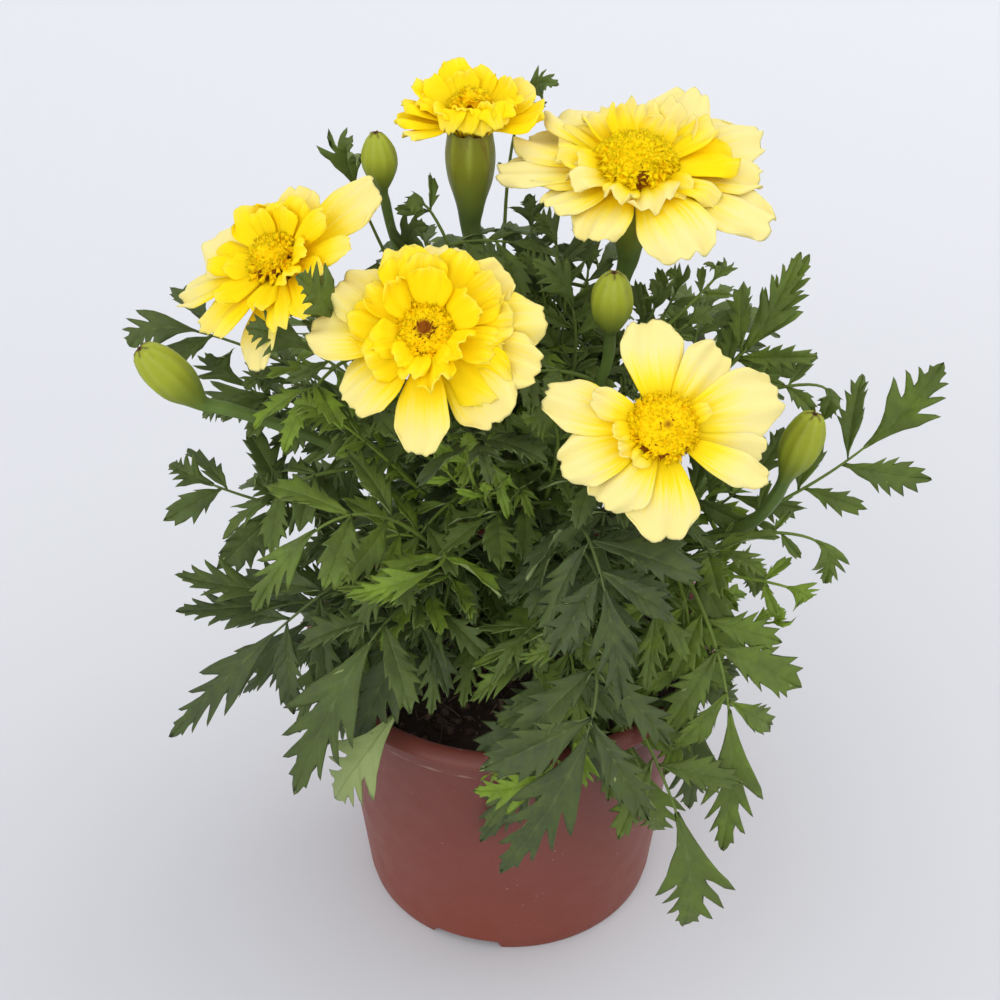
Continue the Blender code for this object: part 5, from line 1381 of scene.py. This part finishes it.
def spread(tree, value, low, high, new_low=0.0, new_high=1.0):
    """A number moved from one range to another and kept inside it."""
    inputs = {"Value": value, "From Min": low, "From Max": high, "To Min": new_low, "To Max": new_high}
    return add_node(tree, "ShaderNodeMapRange", inputs, clamp=True).outputs["Result"]


def noise(tree, vector, scale, detail=3.0, roughness=0.55):
    """Soft noise from 0 to 1."""
    inputs = {"Vector": vector, "Scale": scale, "Detail": detail, "Roughness": roughness}
    return add_node(tree, "ShaderNodeTexNoise", inputs).outputs["Fac"]


def object_place(tree):
    """The place on the object."""
    return add_node(tree, "ShaderNodeTexCoord").outputs["Object"]


def joined(tree, x, y, z):
    """A place made of three numbers."""
    return add_node(tree, "ShaderNodeCombineXYZ", {"X": x, "Y": y, "Z": z}).outputs[0]


def bump(tree, height, strength, distance):
    """A surface direction that follows a height."""
    inputs = {"Height": height, "Strength": strength, "Distance": distance}
    return add_node(tree, "ShaderNodeBump", inputs).outputs["Normal"]


def rgba(colour):
    """A linked colour as it is, or a set colour with full cover."""
    return colour if isinstance(colour, bpy.types.NodeSocket) else (*colour, 1.0)


def material_named(name, sizes):
    """A material of the table: one Principled shader with constants, whose colour, roughness and
    direction come from a build function."""
    material = bpy.data.materials.get(name)
    if material is not None:
        return material
    build, constants = MATERIALS[name]
    material = bpy.data.materials.new(name)
    material.use_nodes = True
    tree = material.node_tree
    shader = tree.nodes["Principled BSDF"]
    for key, value in constants.items():
        shader.inputs[key].default_value = value
    for key, socket in zip(("Base Color", "Roughness", "Normal"), build(tree, sizes)):
        tree.links.new(socket, shader.inputs[key])
    return material


def build_pot(tree, sizes):
    """Red-brown plastic, painted lighter and more orange low down as painted light and darker on the upper
    wall as painted shade, with fine grain, scuffs, dust and a worn ledge.
    """
    place = object_place(tree)
    height = add_node(tree, "ShaderNodeSeparateXYZ", {0: place}).outputs[2]
    # painted light and shade: the wall is painted lighter and more orange towards the foot and darker higher
    # up
    low = spread(tree, height, 0.0, 0.06, 1.0, 0.0)
    colour = mix(tree, low, sizes.colour, sizes.lit_foot_colour)
    cloud = noise(tree, place, 38.0, 4.0)
    colour = mix(tree, spread(tree, cloud, 0.35, 0.75, 0.0, 0.35), colour, sizes.scuff_colour)
    dust = spread(tree, noise(tree, place, 900.0, 2.0), 0.70, 0.74)
    patchy = spread(tree, noise(tree, place, 70.0, 2.0), 0.5, 0.62)
    colour = mix(tree, math(tree, "MULTIPLY", dust, patchy), colour, sizes.dust_colour)
    off_ledge = math(tree, "ABSOLUTE", math(tree, "SUBTRACT", height, LEDGE))
    ledge = spread(tree, off_ledge, 0.3 * MM, 0.9 * MM, 1.0, 0.0)
    worn = spread(tree, noise(tree, place, 160.0, 4.0), 0.48, 0.62, 0.0, 0.75)
    colour = mix(tree, math(tree, "MULTIPLY", ledge, worn), colour, sizes.dust_colour)
    roughness = spread(tree, noise(tree, place, 120.0, 5.0), 0.3, 0.7, 0.42, 0.56)
    grain = noise(tree, place, 1500.0, 3.0)
    return colour, roughness, bump(tree, grain, 0.18, 0.0002)


def build_soil(tree, sizes):
    """Near-black brown earth with paler bits."""
    place = object_place(tree)
    pale = attribute(tree, "pale")
    colour = mix(tree, noise(tree, place, 260.0, 5.0), sizes.dark_colour, sizes.brown_colour)
    colour = mix(tree, math(tree, "MULTIPLY", pale, 0.6), colour, sizes.pale_colour)
    roughness = spread(tree, noise(tree, place, 500.0), 0.3, 0.7, 0.8, 1.0)
    return colour, roughness, bump(tree, noise(tree, place, 700.0, 6.0, 0.7), 0.9, 0.0009)


def build_stem(tree, sizes):
    """Green stem skin, olive on a calyx and yellow-green on a bud, with pale ribs, brown streaks and dry
    brown tips."""
    place = object_place(tree)
    ripe, bud, tip, rib = (attribute(tree, name) for name in ("ripe", "bud", "tip", "rib"))
    mottle = noise(tree, place, 60.0, 3.0)
    colour = mix(tree, spread(tree, mottle, 0.35, 0.65), sizes.dark_colour, sizes.light_colour)
    head = mix(tree, bud, sizes.calyx_colour, sizes.bud_colour)
    colour = mix(tree, spread(tree, ripe, 0.2, 0.75), colour, head)
    on_rib = spread(tree, rib, 0.6, 1.0, 0.0, 0.8)
    on_rib = math(tree, "MULTIPLY", on_rib, spread(tree, ripe, 0.5, 1.0, 0.1, 1.0))
    colour = mix(tree, on_rib, colour, sizes.rib_colour)
    streak = noise(tree, joined_scale(tree, place, (420.0, 420.0, 60.0)), 1.0, 3.0)
    share = math(tree, "MULTIPLY", spread(tree, streak, 0.5, 0.68), spread(tree, ripe, 0.35, 0.9, 0.12, 0.75))
    share = math(tree, "MULTIPLY", share, spread(tree, bud, 0.0, 1.0, 1.0, 0.25))
    colour = mix(tree, share, colour, sizes.streak_colour)
    colour = mix(tree, tip, colour, sizes.tip_colour)
    roughness = spread(tree, noise(tree, place, 400.0), 0.3, 0.7, 0.42, 0.58)
    return colour, roughness, bump(tree, noise(tree, place, 900.0, 4.0), 0.25, 0.0003)


def joined_scale(tree, vector, scale):
    """A place stretched by a scale along each axis."""
    inputs = {0: vector, 1: scale}
    return add_node(tree, "ShaderNodeVectorMath", inputs, operation="MULTIPLY").outputs[0]


def build_leaf(tree, sizes):
    """Leaf green from dark to bright by tone, with paler veins and margins, mottling and a pale underside."""
    place = object_place(tree)
    tone, vein, under, edge = (attribute(tree, name) for name in ("tone", "vein", "under", "edge"))
    mottle = noise(tree, place, 110.0, 4.0, 0.6)
    tone = math(tree, "ADD", tone, spread(tree, mottle, 0.3, 0.7, -0.17, 0.17), clamp=True)
    colour = mix(tree, spread(tree, tone, 0.0, 0.5), sizes.dark_colour, sizes.middle_colour)
    colour = mix(tree, spread(tree, tone, 0.5, 1.0), colour, sizes.bright_colour)
    fine = noise(tree, place, 620.0, 4.0)
    colour = mix(tree, spread(tree, fine, 0.35, 0.7, 0.0, 0.3), colour, sizes.middle_colour)
    lines = math(tree, "POWER", vein, 2.0)
    colour = mix(tree, math(tree, "MULTIPLY", lines, 0.5), colour, sizes.vein_colour)
    colour = mix(tree, spread(tree, edge, 0.5, 1.0, 0.0, 0.35), colour, sizes.vein_colour)
    pale = mix(tree, math(tree, "MULTIPLY", lines, 0.6), sizes.under_colour, sizes.vein_colour)
    colour = mix(tree, math(tree, "MULTIPLY", under, 0.85), colour, pale)
    roughness = spread(tree, fine, 0.3, 0.7, 0.5, 0.7)
    pucker = math(tree, "MULTIPLY", noise(tree, place, 240.0, 3.0), 1.6)
    height = math(tree, "SUBTRACT", math(tree, "ADD", fine, pucker), math(tree, "MULTIPLY", lines, 1.4))
    return colour, roughness, bump(tree, height, 0.5, 0.0004)


def build_petal(tree, sizes):
    """Petal yellow from a golden root to a pale end, with fine lengthwise lines and claws painted
    brown-orange as the shade in the throat.
    """
    along, across, gold, seed = (attribute(tree, name) for name in ("along", "across", "gold", "seed"))
    stretched = joined(tree, math(tree, "MULTIPLY", across, 13.0), math(tree, "MULTIPLY", along, 1.3), seed)
    lines = noise(tree, stretched, 1.0, 3.0)
    shifted = math(tree, "ADD", along, spread(tree, lines, 0.3, 0.7, -0.11, 0.11))
    shifted = math(tree, "SUBTRACT", shifted, math(tree, "MULTIPLY", gold, 0.45))
    colour = mix(tree, spread(tree, shifted, 0.30, 0.54), sizes.root_colour, sizes.lemon_colour)
    colour = mix(tree, spread(tree, shifted, 0.44, 0.76), colour, sizes.pale_colour)
    colour = mix(tree, spread(tree, gold, 0.0, 1.0, 0.0, 0.62), colour, sizes.gold_colour)
    # painted shade: the claws are painted brown-orange where the throat lies in shade
    colour = mix(tree, spread(tree, along, 0.02, 0.12, 0.7, 0.0), colour, sizes.throat_shade_colour)
    roughness = spread(tree, lines, 0.3, 0.7, 0.5, 0.68)
    return colour, roughness, bump(tree, lines, 0.2, 0.0004)


def build_crest(tree, sizes):
    """Floret gold, deeper at the root and underneath, partly their own deeper gold and partly painted shade
    between and under the florets, lighter at the lip, and brown where marked: the eye's own brown and painted
    shade in the rim's gaps.
    """
    names = ("along", "speck", "seed", "tone", "under")
    along, speck, seed, tone, under = (attribute(tree, name) for name in names)
    lines = noise(tree, joined(tree, seed, math(tree, "MULTIPLY", along, 2.0), 0.0), 1.0, 2.0)
    bright = mix(tree, spread(tree, tone, 0.0, 1.0), sizes.gold_colour, sizes.lip_colour)
    # painted shade: floret roots are painted deep orange-gold where shade falls between florets, partly their
    # own deeper colour
    colour = mix(tree, spread(tree, along, 0.2, 0.8), sizes.deep_gold_and_shade_colour, bright)
    colour = mix(tree, spread(tree, lines, 0.4, 0.65, 0.0, 0.5), colour, sizes.lip_colour)
    # painted shade: the undersides are painted deeper gold
    colour = mix(tree, math(tree, "MULTIPLY", under, 0.35), colour, sizes.deep_gold_and_shade_colour)
    # painted shade in the rim's gaps, and the eye's own brown
    colour = mix(tree, speck, colour, sizes.eye_brown_and_gap_shade_colour)
    roughness = spread(tree, lines, 0.3, 0.7, 0.45, 0.6)
    return colour, roughness, bump(tree, noise(tree, object_place(tree), 1200.0, 3.0), 0.2, 0.0002)


def build_paper(tree, sizes):
    """Matt paper, painted a little darker towards the camera as painted shade."""
    distance = add_node(tree, "ShaderNodeSeparateXYZ", {0: object_place(tree)}).outputs[1]
    # painted shade: the backdrop is painted darker towards the camera, standing for light falling off
    near = spread(tree, distance, -0.15, 0.62, 1.0, 0.0)
    return (mix(tree, near, sizes.floor_colour, sizes.near_shade_colour),)


PETAL_CONSTANTS = {
    "Subsurface Weight": 0.3,
    "Subsurface Scale": 0.0006,
    "Subsurface Radius": (1.0, 0.9, 0.3),
    "Specular IOR Level": 0.08,
}
MATERIALS = {
    "pot_plastic": (build_pot, {"Coat Weight": 0.05, "Coat Roughness": 0.35, "Specular IOR Level": 0.35}),
    "soil_earth": (build_soil, {"Specular IOR Level": 0.25}),
    "stem_skin": (build_stem, {"Specular IOR Level": 0.25}),
    "leaf_blade": (build_leaf, {"Specular IOR Level": 0.32}),
    "petal_skin": (build_petal, PETAL_CONSTANTS),
    "crest_skin": (build_crest, {"Specular IOR Level": 0.04}),
    "backdrop_paper": (build_paper, {"Roughness": 0.9, "Specular IOR Level": 0.2}),
}


# The studio


def make_backdrop(sizes):
    """A floor that curves up behind the plant: a profile carried along X."""
    angle = np.linspace(0.0, np.pi / 2.0, BEND_ROWS)
    wall = BACKDROP_BACK + BACKDROP_BEND
    y = np.concatenate(((BACKDROP_FRONT,), BACKDROP_BACK + BACKDROP_BEND * np.sin(angle), (wall,)))
    z = np.concatenate(((0.0,), BACKDROP_BEND * (1.0 - np.cos(angle)), (BACKDROP_TOP,)))
    x = np.linspace(-BACKDROP_HALF_WIDTH, BACKDROP_HALF_WIDTH, BACKDROP_ROWS)[:, None]
    mesh = bpy.data.meshes.new("backdrop")
    mesh.from_pydata(stacked(x, y, z).reshape(-1, 3).tolist(), [], grid_faces(BACKDROP_ROWS, len(y)).tolist())
    mesh.shade_smooth()
    mesh.materials.append(material_named("backdrop_paper", sizes))
    return add_object("backdrop", mesh)


def aimed(place, aim):
    """The turn of a light or camera at a place that faces an aim."""
    return (Vector(aim) - Vector(place)).to_track_quat("-Z", "Y").to_euler()


def add_light(name, place, size, colour, power):
    """A soft square light that faces the plant."""
    data = bpy.data.lights.new(name, "AREA")
    data.size = size
    data.energy = power
    data.color = colour
    light = add_object(name, data)
    light.location = place
    light.rotation_euler = aimed(place, LIGHT_AIM)
    return light


def make_world(sizes):
    """An even pale surround."""
    world = bpy.data.worlds.new("surround")
    world.use_nodes = True
    background = world.node_tree.nodes["Background"]
    background.inputs["Color"].default_value = rgba(sizes.surround_colour)
    background.inputs["Strength"].default_value = sizes.surround_strength
    bpy.context.scene.world = world


def make_camera():
    """The camera, where the photo was fitted to have been taken from."""
    data = bpy.data.cameras.new("camera")
    data.lens = CAMERA_LENS
    data.sensor_width = CAMERA_SENSOR
    camera = add_object("camera", data)
    camera.location = CAMERA_PLACE
    camera.rotation_euler = aimed(CAMERA_PLACE, CAMERA_AIM)
    bpy.context.scene.camera = camera
    return camera


# Settings


def colour_setting(name, description, default):
    """A colour shown in the panel."""
    return bpy.props.FloatVectorProperty(
        name=name, description=description, default=default, size=3, min=0.0, max=1.0, subtype="COLOR"
    )


def number_setting(name, description, default, highest=1.0, **kind):
    """A number shown in the panel, a plain share where no kind is given."""
    kind = kind or {"subtype": "FACTOR"}
    return bpy.props.FloatProperty(
        name=name, description=description, default=default, min=0.0, max=highest, **kind
    )


def length_setting(name, description, default, highest):
    """A length shown in the panel."""
    return number_setting(name, description, default, highest, subtype="DISTANCE", unit="LENGTH", precision=5)


def power_setting(name, description, default):
    """The power of a light shown in the panel."""
    return number_setting(name, description, default, 200.0, subtype="POWER", unit="POWER")


def count_setting(name, description, default, highest):
    """A whole number shown in the panel."""
    return bpy.props.IntProperty(
        name=name, description=description, default=default, min=1, max=highest, subtype="UNSIGNED"
    )


class MarigoldPotSettings(bpy.types.PropertyGroup):
    """Colours of the pot."""

    # The upper wall's colour holds painted shade and the foot's colour holds painted light.
    colour: colour_setting("Plastic", "Colour of the upper wall and rim", (0.156, 0.036, 0.025))
    lit_foot_colour: colour_setting("Low wall", "Colour near the foot", (0.215, 0.043, 0.022))
    scuff_colour: colour_setting("Scuffs", "Colour of rubbed patches", (0.205, 0.056, 0.042))
    dust_colour: colour_setting("Dust", "Colour of specks of dust", (0.34, 0.21, 0.17))


class MarigoldSoilSettings(bpy.types.PropertyGroup):
    """Sizes and colours of the soil."""

    crumbs: count_setting("Crumbs", "How many loose crumbs lie on the soil", 700, 2400)
    crumb_size: length_setting("Crumb size", "Radius of the largest crumbs", 1.5 * MM, 4.0 * MM)
    fibres: count_setting("Fibres", "How many pale fibres lie on the soil", 300, 600)
    dark_colour: colour_setting("Dark earth", "Darkest colour", (0.012, 0.008, 0.006))
    brown_colour: colour_setting("Brown earth", "Lighter colour", (0.060, 0.036, 0.024))
    pale_colour: colour_setting("Pale bits", "Colour of fibres and pale crumbs", (0.26, 0.17, 0.11))


class MarigoldStemSettings(bpy.types.PropertyGroup):
    """Colours of the stems, calyces and buds."""

    dark_colour: colour_setting("Dark green", "Colour of old stems", (0.075, 0.115, 0.026))
    light_colour: colour_setting("Light green", "Colour of young stems", (0.125, 0.20, 0.038))
    calyx_colour: colour_setting("Calyx", "Colour of a calyx's upper part", (0.195, 0.205, 0.010))
    bud_colour: colour_setting("Bud", "Colour of a bud's upper part", (0.33, 0.375, 0.022))
    rib_colour: colour_setting("Ribs", "Colour along the ribs", (0.35, 0.40, 0.05))
    streak_colour: colour_setting("Streaks", "Colour of the brown streaks", (0.15, 0.083, 0.018))
    tip_colour: colour_setting("Tips", "Colour of the dry tips", (0.095, 0.038, 0.014))


class MarigoldLeafSettings(bpy.types.PropertyGroup):
    """Sizes and colours of the leaves."""

    leaflet_width: number_setting("Leaflet width", "Width of a leaflet as a share of its length", 0.37)
    tooth_depth: number_setting("Tooth depth", "Depth of the teeth as a share of the half width", 0.34)
    deep_length: length_setting("Deep lobes", "Longer end leaflets are cut deeply", 21.0 * MM, 99.0 * MM)
    leaf_thickness: length_setting("Thickness", "Thickness of a blade", 0.38 * MM, 1.0 * MM)
    rib_radius: length_setting("Rib radius", "Radius of a leaf's rib at its root", 0.75 * MM, 2.0 * MM)
    puff: length_setting("Puff", "How far a blade stands up between its veins", 0.28 * MM, 1.0 * MM)
    ruffle: length_setting("Ruffle", "How far a margin waves", 0.75 * MM, 3.0 * MM)
    dark_colour: colour_setting("Dark green", "Colour of the darkest leaves", (0.044, 0.062, 0.021))
    middle_colour: colour_setting("Green", "Colour of most leaves", (0.094, 0.139, 0.021))
    bright_colour: colour_setting("Bright green", "Colour of the youngest leaves", (0.19, 0.295, 0.018))
    vein_colour: colour_setting("Veins", "Colour of the veins", (0.165, 0.22, 0.065))
    under_colour: colour_setting("Underside", "Colour of the underside", (0.27, 0.33, 0.12))


class MarigoldPetalSettings(bpy.types.PropertyGroup):
    """Sizes and colours of the petals."""

    petal_thickness: length_setting("Thickness", "Thickness of a petal", 0.42 * MM, 1.0 * MM)
    petal_ruffle: length_setting("Ruffle", "How far a petal's end waves", 1.7 * MM, 5.0 * MM)
    petal_groove: length_setting("Grooves", "Depth of the lengthwise grooves", 0.16 * MM, 0.6 * MM)
    throat_depth: length_setting("Throat", "How deep the claws sit in the calyx", 1.6 * MM, 4.0 * MM)
    root_colour: colour_setting("Root", "Colour at the root", (1.0, 0.70, 0.003))
    lemon_colour: colour_setting("Middle", "Colour of the middle", (0.99, 0.77, 0.035))
    pale_colour: colour_setting("End", "Colour of the end", (0.885, 0.76, 0.30))
    gold_colour: colour_setting("Gold", "Colour of the younger, deeper petals", (1.0, 0.73, 0.003))
    # The throat colour is painted shade on the claws.
    throat_shade_colour: colour_setting("Throat", "Colour of the claws", (0.45, 0.16, 0.004))


class MarigoldCrestSettings(bpy.types.PropertyGroup):
    """Sizes and colours of the crests."""

    # The deep gold is partly painted shade at the floret roots and undersides.
    deep_gold_and_shade_colour: colour_setting("Deep gold", "Colour at a floret's root", (1.0, 0.52, 0.001))
    gold_colour: colour_setting("Gold", "Colour of a floret", (1.0, 0.68, 0.002))
    lip_colour: colour_setting("Lip", "Colour of a floret's lip", (1.0, 0.83, 0.004))
    # The speck colour is the eye's own brown and painted shade in the rim's gaps.
    eye_brown_and_gap_shade_colour: colour_setting("Specks", "Colour of the eye and of the gaps", (0.24, 0.065, 0.004))


class MarigoldStageSettings(bpy.types.PropertyGroup):
    """Colours and lights of the studio."""

    floor_colour: colour_setting("Backdrop", "Colour of the backdrop far behind", (0.76, 0.765, 0.79))
    # The near backdrop colour is painted shade.
    near_shade_colour: colour_setting("Near backdrop", "Colour of the backdrop near the camera", (0.64, 0.64, 0.66))
    surround_colour: colour_setting("Surround", "Colour of the surround", (0.95, 0.97, 1.0))
    surround_strength: number_setting("Surround strength", "Brightness of the surround", 1.07, 4.0)
    key_power: power_setting("Key light", "Power of the main light", 3.0)
    fill_power: power_setting("Fill light", "Power of the fill light", 4.4)


# Operators


class MarigoldMakePot(bpy.types.Operator):
    """Makes the nursery pot"""

    bl_idname = "marigold.make_pot"
    bl_label = "Make pot"

    def execute(self, context):
        make_pot(context.scene.marigold_pot)
        return {"FINISHED"}


class MarigoldMakeSoil(bpy.types.Operator):
    """Makes the potting soil"""

    bl_idname = "marigold.make_soil"
    bl_label = "Make soil"

    def execute(self, context):
        make_soil(context.scene.marigold_soil)
        return {"FINISHED"}


class MarigoldMakeStems(bpy.types.Operator):
    """Makes the main stem and the side stems with their calyces and buds"""

    bl_idname = "marigold.make_stems"
    bl_label = "Make stems and buds"

    def execute(self, context):
        make_trunk(context.scene.marigold_stems)
        make_stems(context.scene.marigold_stems)
        return {"FINISHED"}


class MarigoldMakeLeaves(bpy.types.Operator):
    """Makes the leaves of every stem"""

    bl_idname = "marigold.make_leaves"
    bl_label = "Make leaves"

    def execute(self, context):
        make_leaves(context.scene.marigold_leaves)
        return {"FINISHED"}


class MarigoldMakePetals(bpy.types.Operator):
    """Makes the petals of every bloom"""

    bl_idname = "marigold.make_petals"
    bl_label = "Make petals"

    def execute(self, context):
        make_petals(context.scene.marigold_petals)
        return {"FINISHED"}


class MarigoldMakeCrests(bpy.types.Operator):
    """Makes the golden crest of every bloom"""

    bl_idname = "marigold.make_crests"
    bl_label = "Make crests"

    def execute(self, context):
        make_crests(context.scene.marigold_crests)
        return {"FINISHED"}


class MarigoldMakeStage(bpy.types.Operator):
    """Makes the backdrop, the lights, the surround and the camera"""

    bl_idname = "marigold.make_stage"
    bl_label = "Make studio"

    def execute(self, context):
        sizes = context.scene.marigold_stage
        backdrop = make_backdrop(sizes)
        key = add_light(*KEY_LIGHT, sizes.key_power)
        fill = add_light(*FILL_LIGHT, sizes.fill_power)
        make_world(sizes)
        camera = make_camera()
        context.scene.view_settings.view_transform = "Standard"
        return {"FINISHED"}


OPERATORS = (
    MarigoldMakePot,
    MarigoldMakeSoil,
    MarigoldMakeStems,
    MarigoldMakeLeaves,
    MarigoldMakePetals,
    MarigoldMakeCrests,
    MarigoldMakeStage,
)
SETTINGS = {
    "marigold_pot": MarigoldPotSettings,
    "marigold_soil": MarigoldSoilSettings,
    "marigold_stems": MarigoldStemSettings,
    "marigold_leaves": MarigoldLeafSettings,
    "marigold_petals": MarigoldPetalSettings,
    "marigold_crests": MarigoldCrestSettings,
    "marigold_stage": MarigoldStageSettings,
}


class MARIGOLD_PT_panel(bpy.types.Panel):
    """Sizes, colours and buttons of the potted marigold"""

    bl_idname = "MARIGOLD_PT_panel"
    bl_label = "Potted marigold"
    bl_space_type = "VIEW_3D"
    bl_region_type = "UI"
    bl_category = "Marigold"

    def draw(self, context):
        for (key, settings), operator in zip(SETTINGS.items(), OPERATORS):
            box = self.layout.box()
            box.operator(operator.bl_idname)
            for name in settings.__annotations__:
                box.prop(getattr(context.scene, key), name)


def register():
    """Registers the settings, operators and panel."""
    for key, settings in SETTINGS.items():
        bpy.utils.register_class(settings)
        setattr(bpy.types.Scene, key, bpy.props.PointerProperty(type=settings))
    for operator in OPERATORS:
        bpy.utils.register_class(operator)
    bpy.utils.register_class(MARIGOLD_PT_panel)


def unregister():
    """Takes the settings, operators and panel out again."""
    bpy.utils.unregister_class(MARIGOLD_PT_panel)
    for operator in reversed(OPERATORS):
        bpy.utils.unregister_class(operator)
    for key, settings in reversed(SETTINGS.items()):
        delattr(bpy.types.Scene, key)
        bpy.utils.unregister_class(settings)


def main():
    """Makes every piece."""
    register()
    bpy.ops.marigold.make_pot()
    bpy.ops.marigold.make_soil()
    bpy.ops.marigold.make_stems()
    bpy.ops.marigold.make_leaves()
    bpy.ops.marigold.make_petals()
    bpy.ops.marigold.make_crests()
    bpy.ops.marigold.make_stage()


if __name__ == "__main__":
    main()
